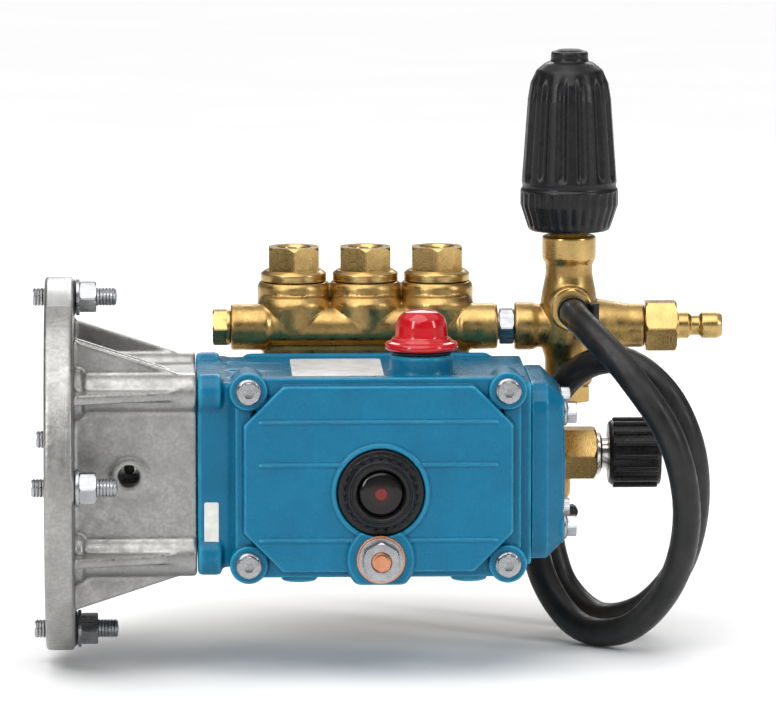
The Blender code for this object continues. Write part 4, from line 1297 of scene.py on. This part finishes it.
def bypass_barb():
    low, high = span("bypass_barb")
    at = ((low.x + high.x) / 2, 0, (low.z + high.z) / 2)
    end = HOSE_ROUTE[0][1] / MM
    shank = [(0, -high.y), (7, -high.y), (7, -end - 1.3), (4.4, -end - 0.3), (4.4, -end + 11), (3.6, -end + 13),
             (0, -end + 13)]
    nut = hex_head(19, -49.7, -end - 0.6, at, "-Y", 1, both=True)
    made = combine(turned(shank, at, "-Y", 0.3), [nut], [drill(2.4, -high.y - 1, -low.y + 1, at, "-Y")])
    piece("bypass_barb_detailed", made, TURNED, replaces=["bypass_barb"])


def inlet_tee():
    low, high = span("inlet_tee")
    axis_y, axis_z = middle("inlet_swivel_collar").yz
    at = (0, axis_y, axis_z)
    end_x, end_y, end_z = (c / MM for c in HOSE_ROUTE[-1])
    down = (end_x, end_y, 0)
    run = [(0, low.x), (10, low.x), (10, 240.3), (12.5, 240.3), (12.5, 263), (0, 263)]
    leg = [(0, -axis_z), (9.5, -axis_z), (9.5, -end_z - 3.5), (8, -end_z - 1), (4.4, -end_z - 0.6),
           (4.4, -end_z + 11), (3.6, -end_z + 13), (0, -end_z + 13)]
    cuts = [
        drill(7, low.x - 1, 270, at, "+X"),
        drill(2.6, -axis_z, -end_z + 14, down, "-Z"),
    ]
    body = combine(turned(run, at, "+X", 1.5), [turned(leg, down, "-Z", 0.8)], cuts)
    body = cast(body, 0.4, 5, 0.4)
    piece("inlet_tee_forging", body, FORGED, replaces=["inlet_tee"])
    nut = hex_head(25, 262, high.x, at, "+X", 1.6, both=True)
    nut = combine(nut, cut=[drill(9.4, 266, high.x + 1, at, "+X"), drill(7, 260, 267, at, "+X")])
    piece("inlet_adapter_nut", nut, TURNED)


def inlet_swivel():
    """The garden-hose swivel: a nickel tailpiece, and the ribbed collar that turns on it."""
    low, high = span("swivel_tailpiece")
    axis_y, axis_z = middle("inlet_swivel_collar").yz
    at = (0, axis_y, axis_z)
    tail = [(6, low.x), (9, low.x), (9, 278.4), (11.5, 278.4), (11.5, 280.2), (8.4, 281), (8.4, 288.5),
            (12.8, 288.5), (12.8, high.x), (6, high.x)]
    piece("swivel_tailpiece_detailed", turned(tail, at, "+X", 0.3), NICKEL,
          replaces=["swivel_tailpiece"])
    low, high = span("inlet_swivel_collar")
    first, last = low.x, high.x
    collar = [(9, first), (15.2, first), (16.6, first + 1.6), (16.6, last - 1.6), (16, last), (13.4, last),
              (12.4, last - 1), (12.4, first + 3.2), (9, first + 3.2)]
    ribs = []
    for k in range(16):
        turn = Matrix.Rotation(2 * math.pi * k / 16, 4, "X")
        y, z = (turn @ Vector((0, 0, 16.6))).yz
        ribs.append(rod(1.5, first + 2.4, last - 1.6, (0, axis_y + y, axis_z + z), "+X", 0.7, 20))
    body = combine(turned(collar, at, "+X", 0.6), ribs)
    piece("hose_swivel_collar", body, BLACK, "inlet_collar", ["inlet_swivel_collar"])
    washer = [(6.2, 291.7), (12.2, 291.7), (12.2, 294.4), (6.2, 294.4)]
    piece("hose_washer", turned(washer, at, "+X", 0.5), RUBBER, "inlet_collar")


def hose_clamps():
    """A worm-drive band round each end of the bypass hose."""
    radius = HOSE_RADIUS / MM
    ends = [(HOSE_ROUTE[0], "-Y"), (HOSE_ROUTE[-1], "-Z")]
    for number, (end, axis) in enumerate(ends, 1):
        x, y, z = (c / MM for c in end)
        at = (x, y, z)
        band = [(radius + 0.05, 3), (radius + 0.75, 3), (radius + 0.75, 9), (radius + 0.05, 9)]
        made = turned(band, at, axis, 0.2)
        piece(f"hose_clamp_band_{number}", made, OXIDE)
        side = Vector((radius + 3.2, 0, 6))
        centre = Vector(at) + TURN[axis].to_3x3() @ side
        housing = rod(3, -4.5, 4.5, centre, "+Z" if axis == "-Y" else "+Y", 0.6, 32)
        piece(f"hose_clamp_screw_{number}", housing, OXIDE)


# ---------------------------------------------------------------- what stays from the frame


def inner_parts():
    """The frame's own solids that stay in sight, or inside, get the same looks."""
    looks = {
        "ground_steel": STEEL,
        "bronze": BRONZE,
        "black_rubber": RUBBER,
        "white_ceramic": CERAMIC,
        "brass": TURNED,
        "zinc_plated_steel": ZINC,
        "black_plastic": BLACK,
    }
    slots = {entry["node"]: entry["material_slot"] for entry in frame["record"]["subparts"]}
    for name, node in frame["nodes"].items():
        if node.hide_render:
            continue
        node.data.materials.clear()
        node.data.materials.append(looks[slots[name]])


# ---------------------------------------------------------------- the studio


def studio():
    """A pale floor under the pump, a soft sky and three large lamps."""
    low = cad_box[0]
    bm = bmesh.new()
    bmesh.ops.create_circle(bm, cap_ends=True, segments=96, radius=14)
    floor = shape(bm, (0, 0, low[2] / MM - 0.4))
    floor.name = "floor"
    floor.data.materials.append(floor_look())
    world = bpy.data.worlds.new("studio")
    bpy.context.scene.world = world
    world.use_nodes = True
    tree = world.node_tree
    sky = tree.nodes["Background"]
    sky.inputs["Strength"].default_value = 0.75
    place = tree.nodes.new("ShaderNodeTexCoord")
    parts = tree.nodes.new("ShaderNodeSeparateXYZ")
    ramp = tree.nodes.new("ShaderNodeValToRGB")
    tree.links.new(place.outputs["Generated"], parts.inputs[0])
    tree.links.new(parts.outputs["Z"], ramp.inputs["Fac"])
    tree.links.new(ramp.outputs["Color"], sky.inputs["Color"])
    stops = ramp.color_ramp.elements
    for stop, (height, grey) in zip([stops[0], stops[1]], ((0.0, 0.75), (1.0, 1.0))):
        stop.position, stop.color = height, (grey, grey, grey, 1)
    for height, grey in ((0.12, 0.5), (0.3, 0.16), (0.55, 0.22), (0.72, 1.0)):
        stops.new(height).color = (grey, grey, grey, 1)
    sun = bpy.data.lights.new("overhead", "SUN")
    sun.energy = 2.1
    sun.angle = math.radians(68)
    lamp = bpy.data.objects.new("overhead", sun)
    lamp.rotation_euler = (math.radians(24), math.radians(-14), 0)
    bpy.context.scene.collection.objects.link(lamp)
    centre = Vector(((cad_box[0][0] + cad_box[1][0]) / 2, 0.03, 0.03))
    lamps = [
        ((-1.5, -1.7, 1.0), (0.35, 1.3), 15),
        ((1.7, -1.0, 0.9), (0.3, 1.1), 11),
        ((0.2, 1.9, 1.1), (1.6, 0.6), 12),
    ]
    for number, (offset, size, power) in enumerate(lamps, 1):
        data = bpy.data.lights.new(f"softbox_{number}", "AREA")
        data.shape = "RECTANGLE"
        data.size, data.size_y = size
        data.energy = power
        lamp = bpy.data.objects.new(f"softbox_{number}", data)
        lamp.location = centre + Vector(offset)
        lamp.rotation_euler = (-Vector(offset)).to_track_quat("-Z", "Y").to_euler()
        bpy.context.scene.collection.objects.link(lamp)
    bpy.context.scene.view_settings.view_transform = "Standard"


camera()
bypass_hose()
bell_housing()
drive_shaft()
crankcase()
rear_cover()
cover_fittings()
filler_cap()
bearing_cover()
brass_head()
valves()
gallery_plugs()
nipple()
unloader()
outlet()
bypass_barb()
inlet_tee()
inlet_swivel()
hose_clamps()
inner_parts()
studio()
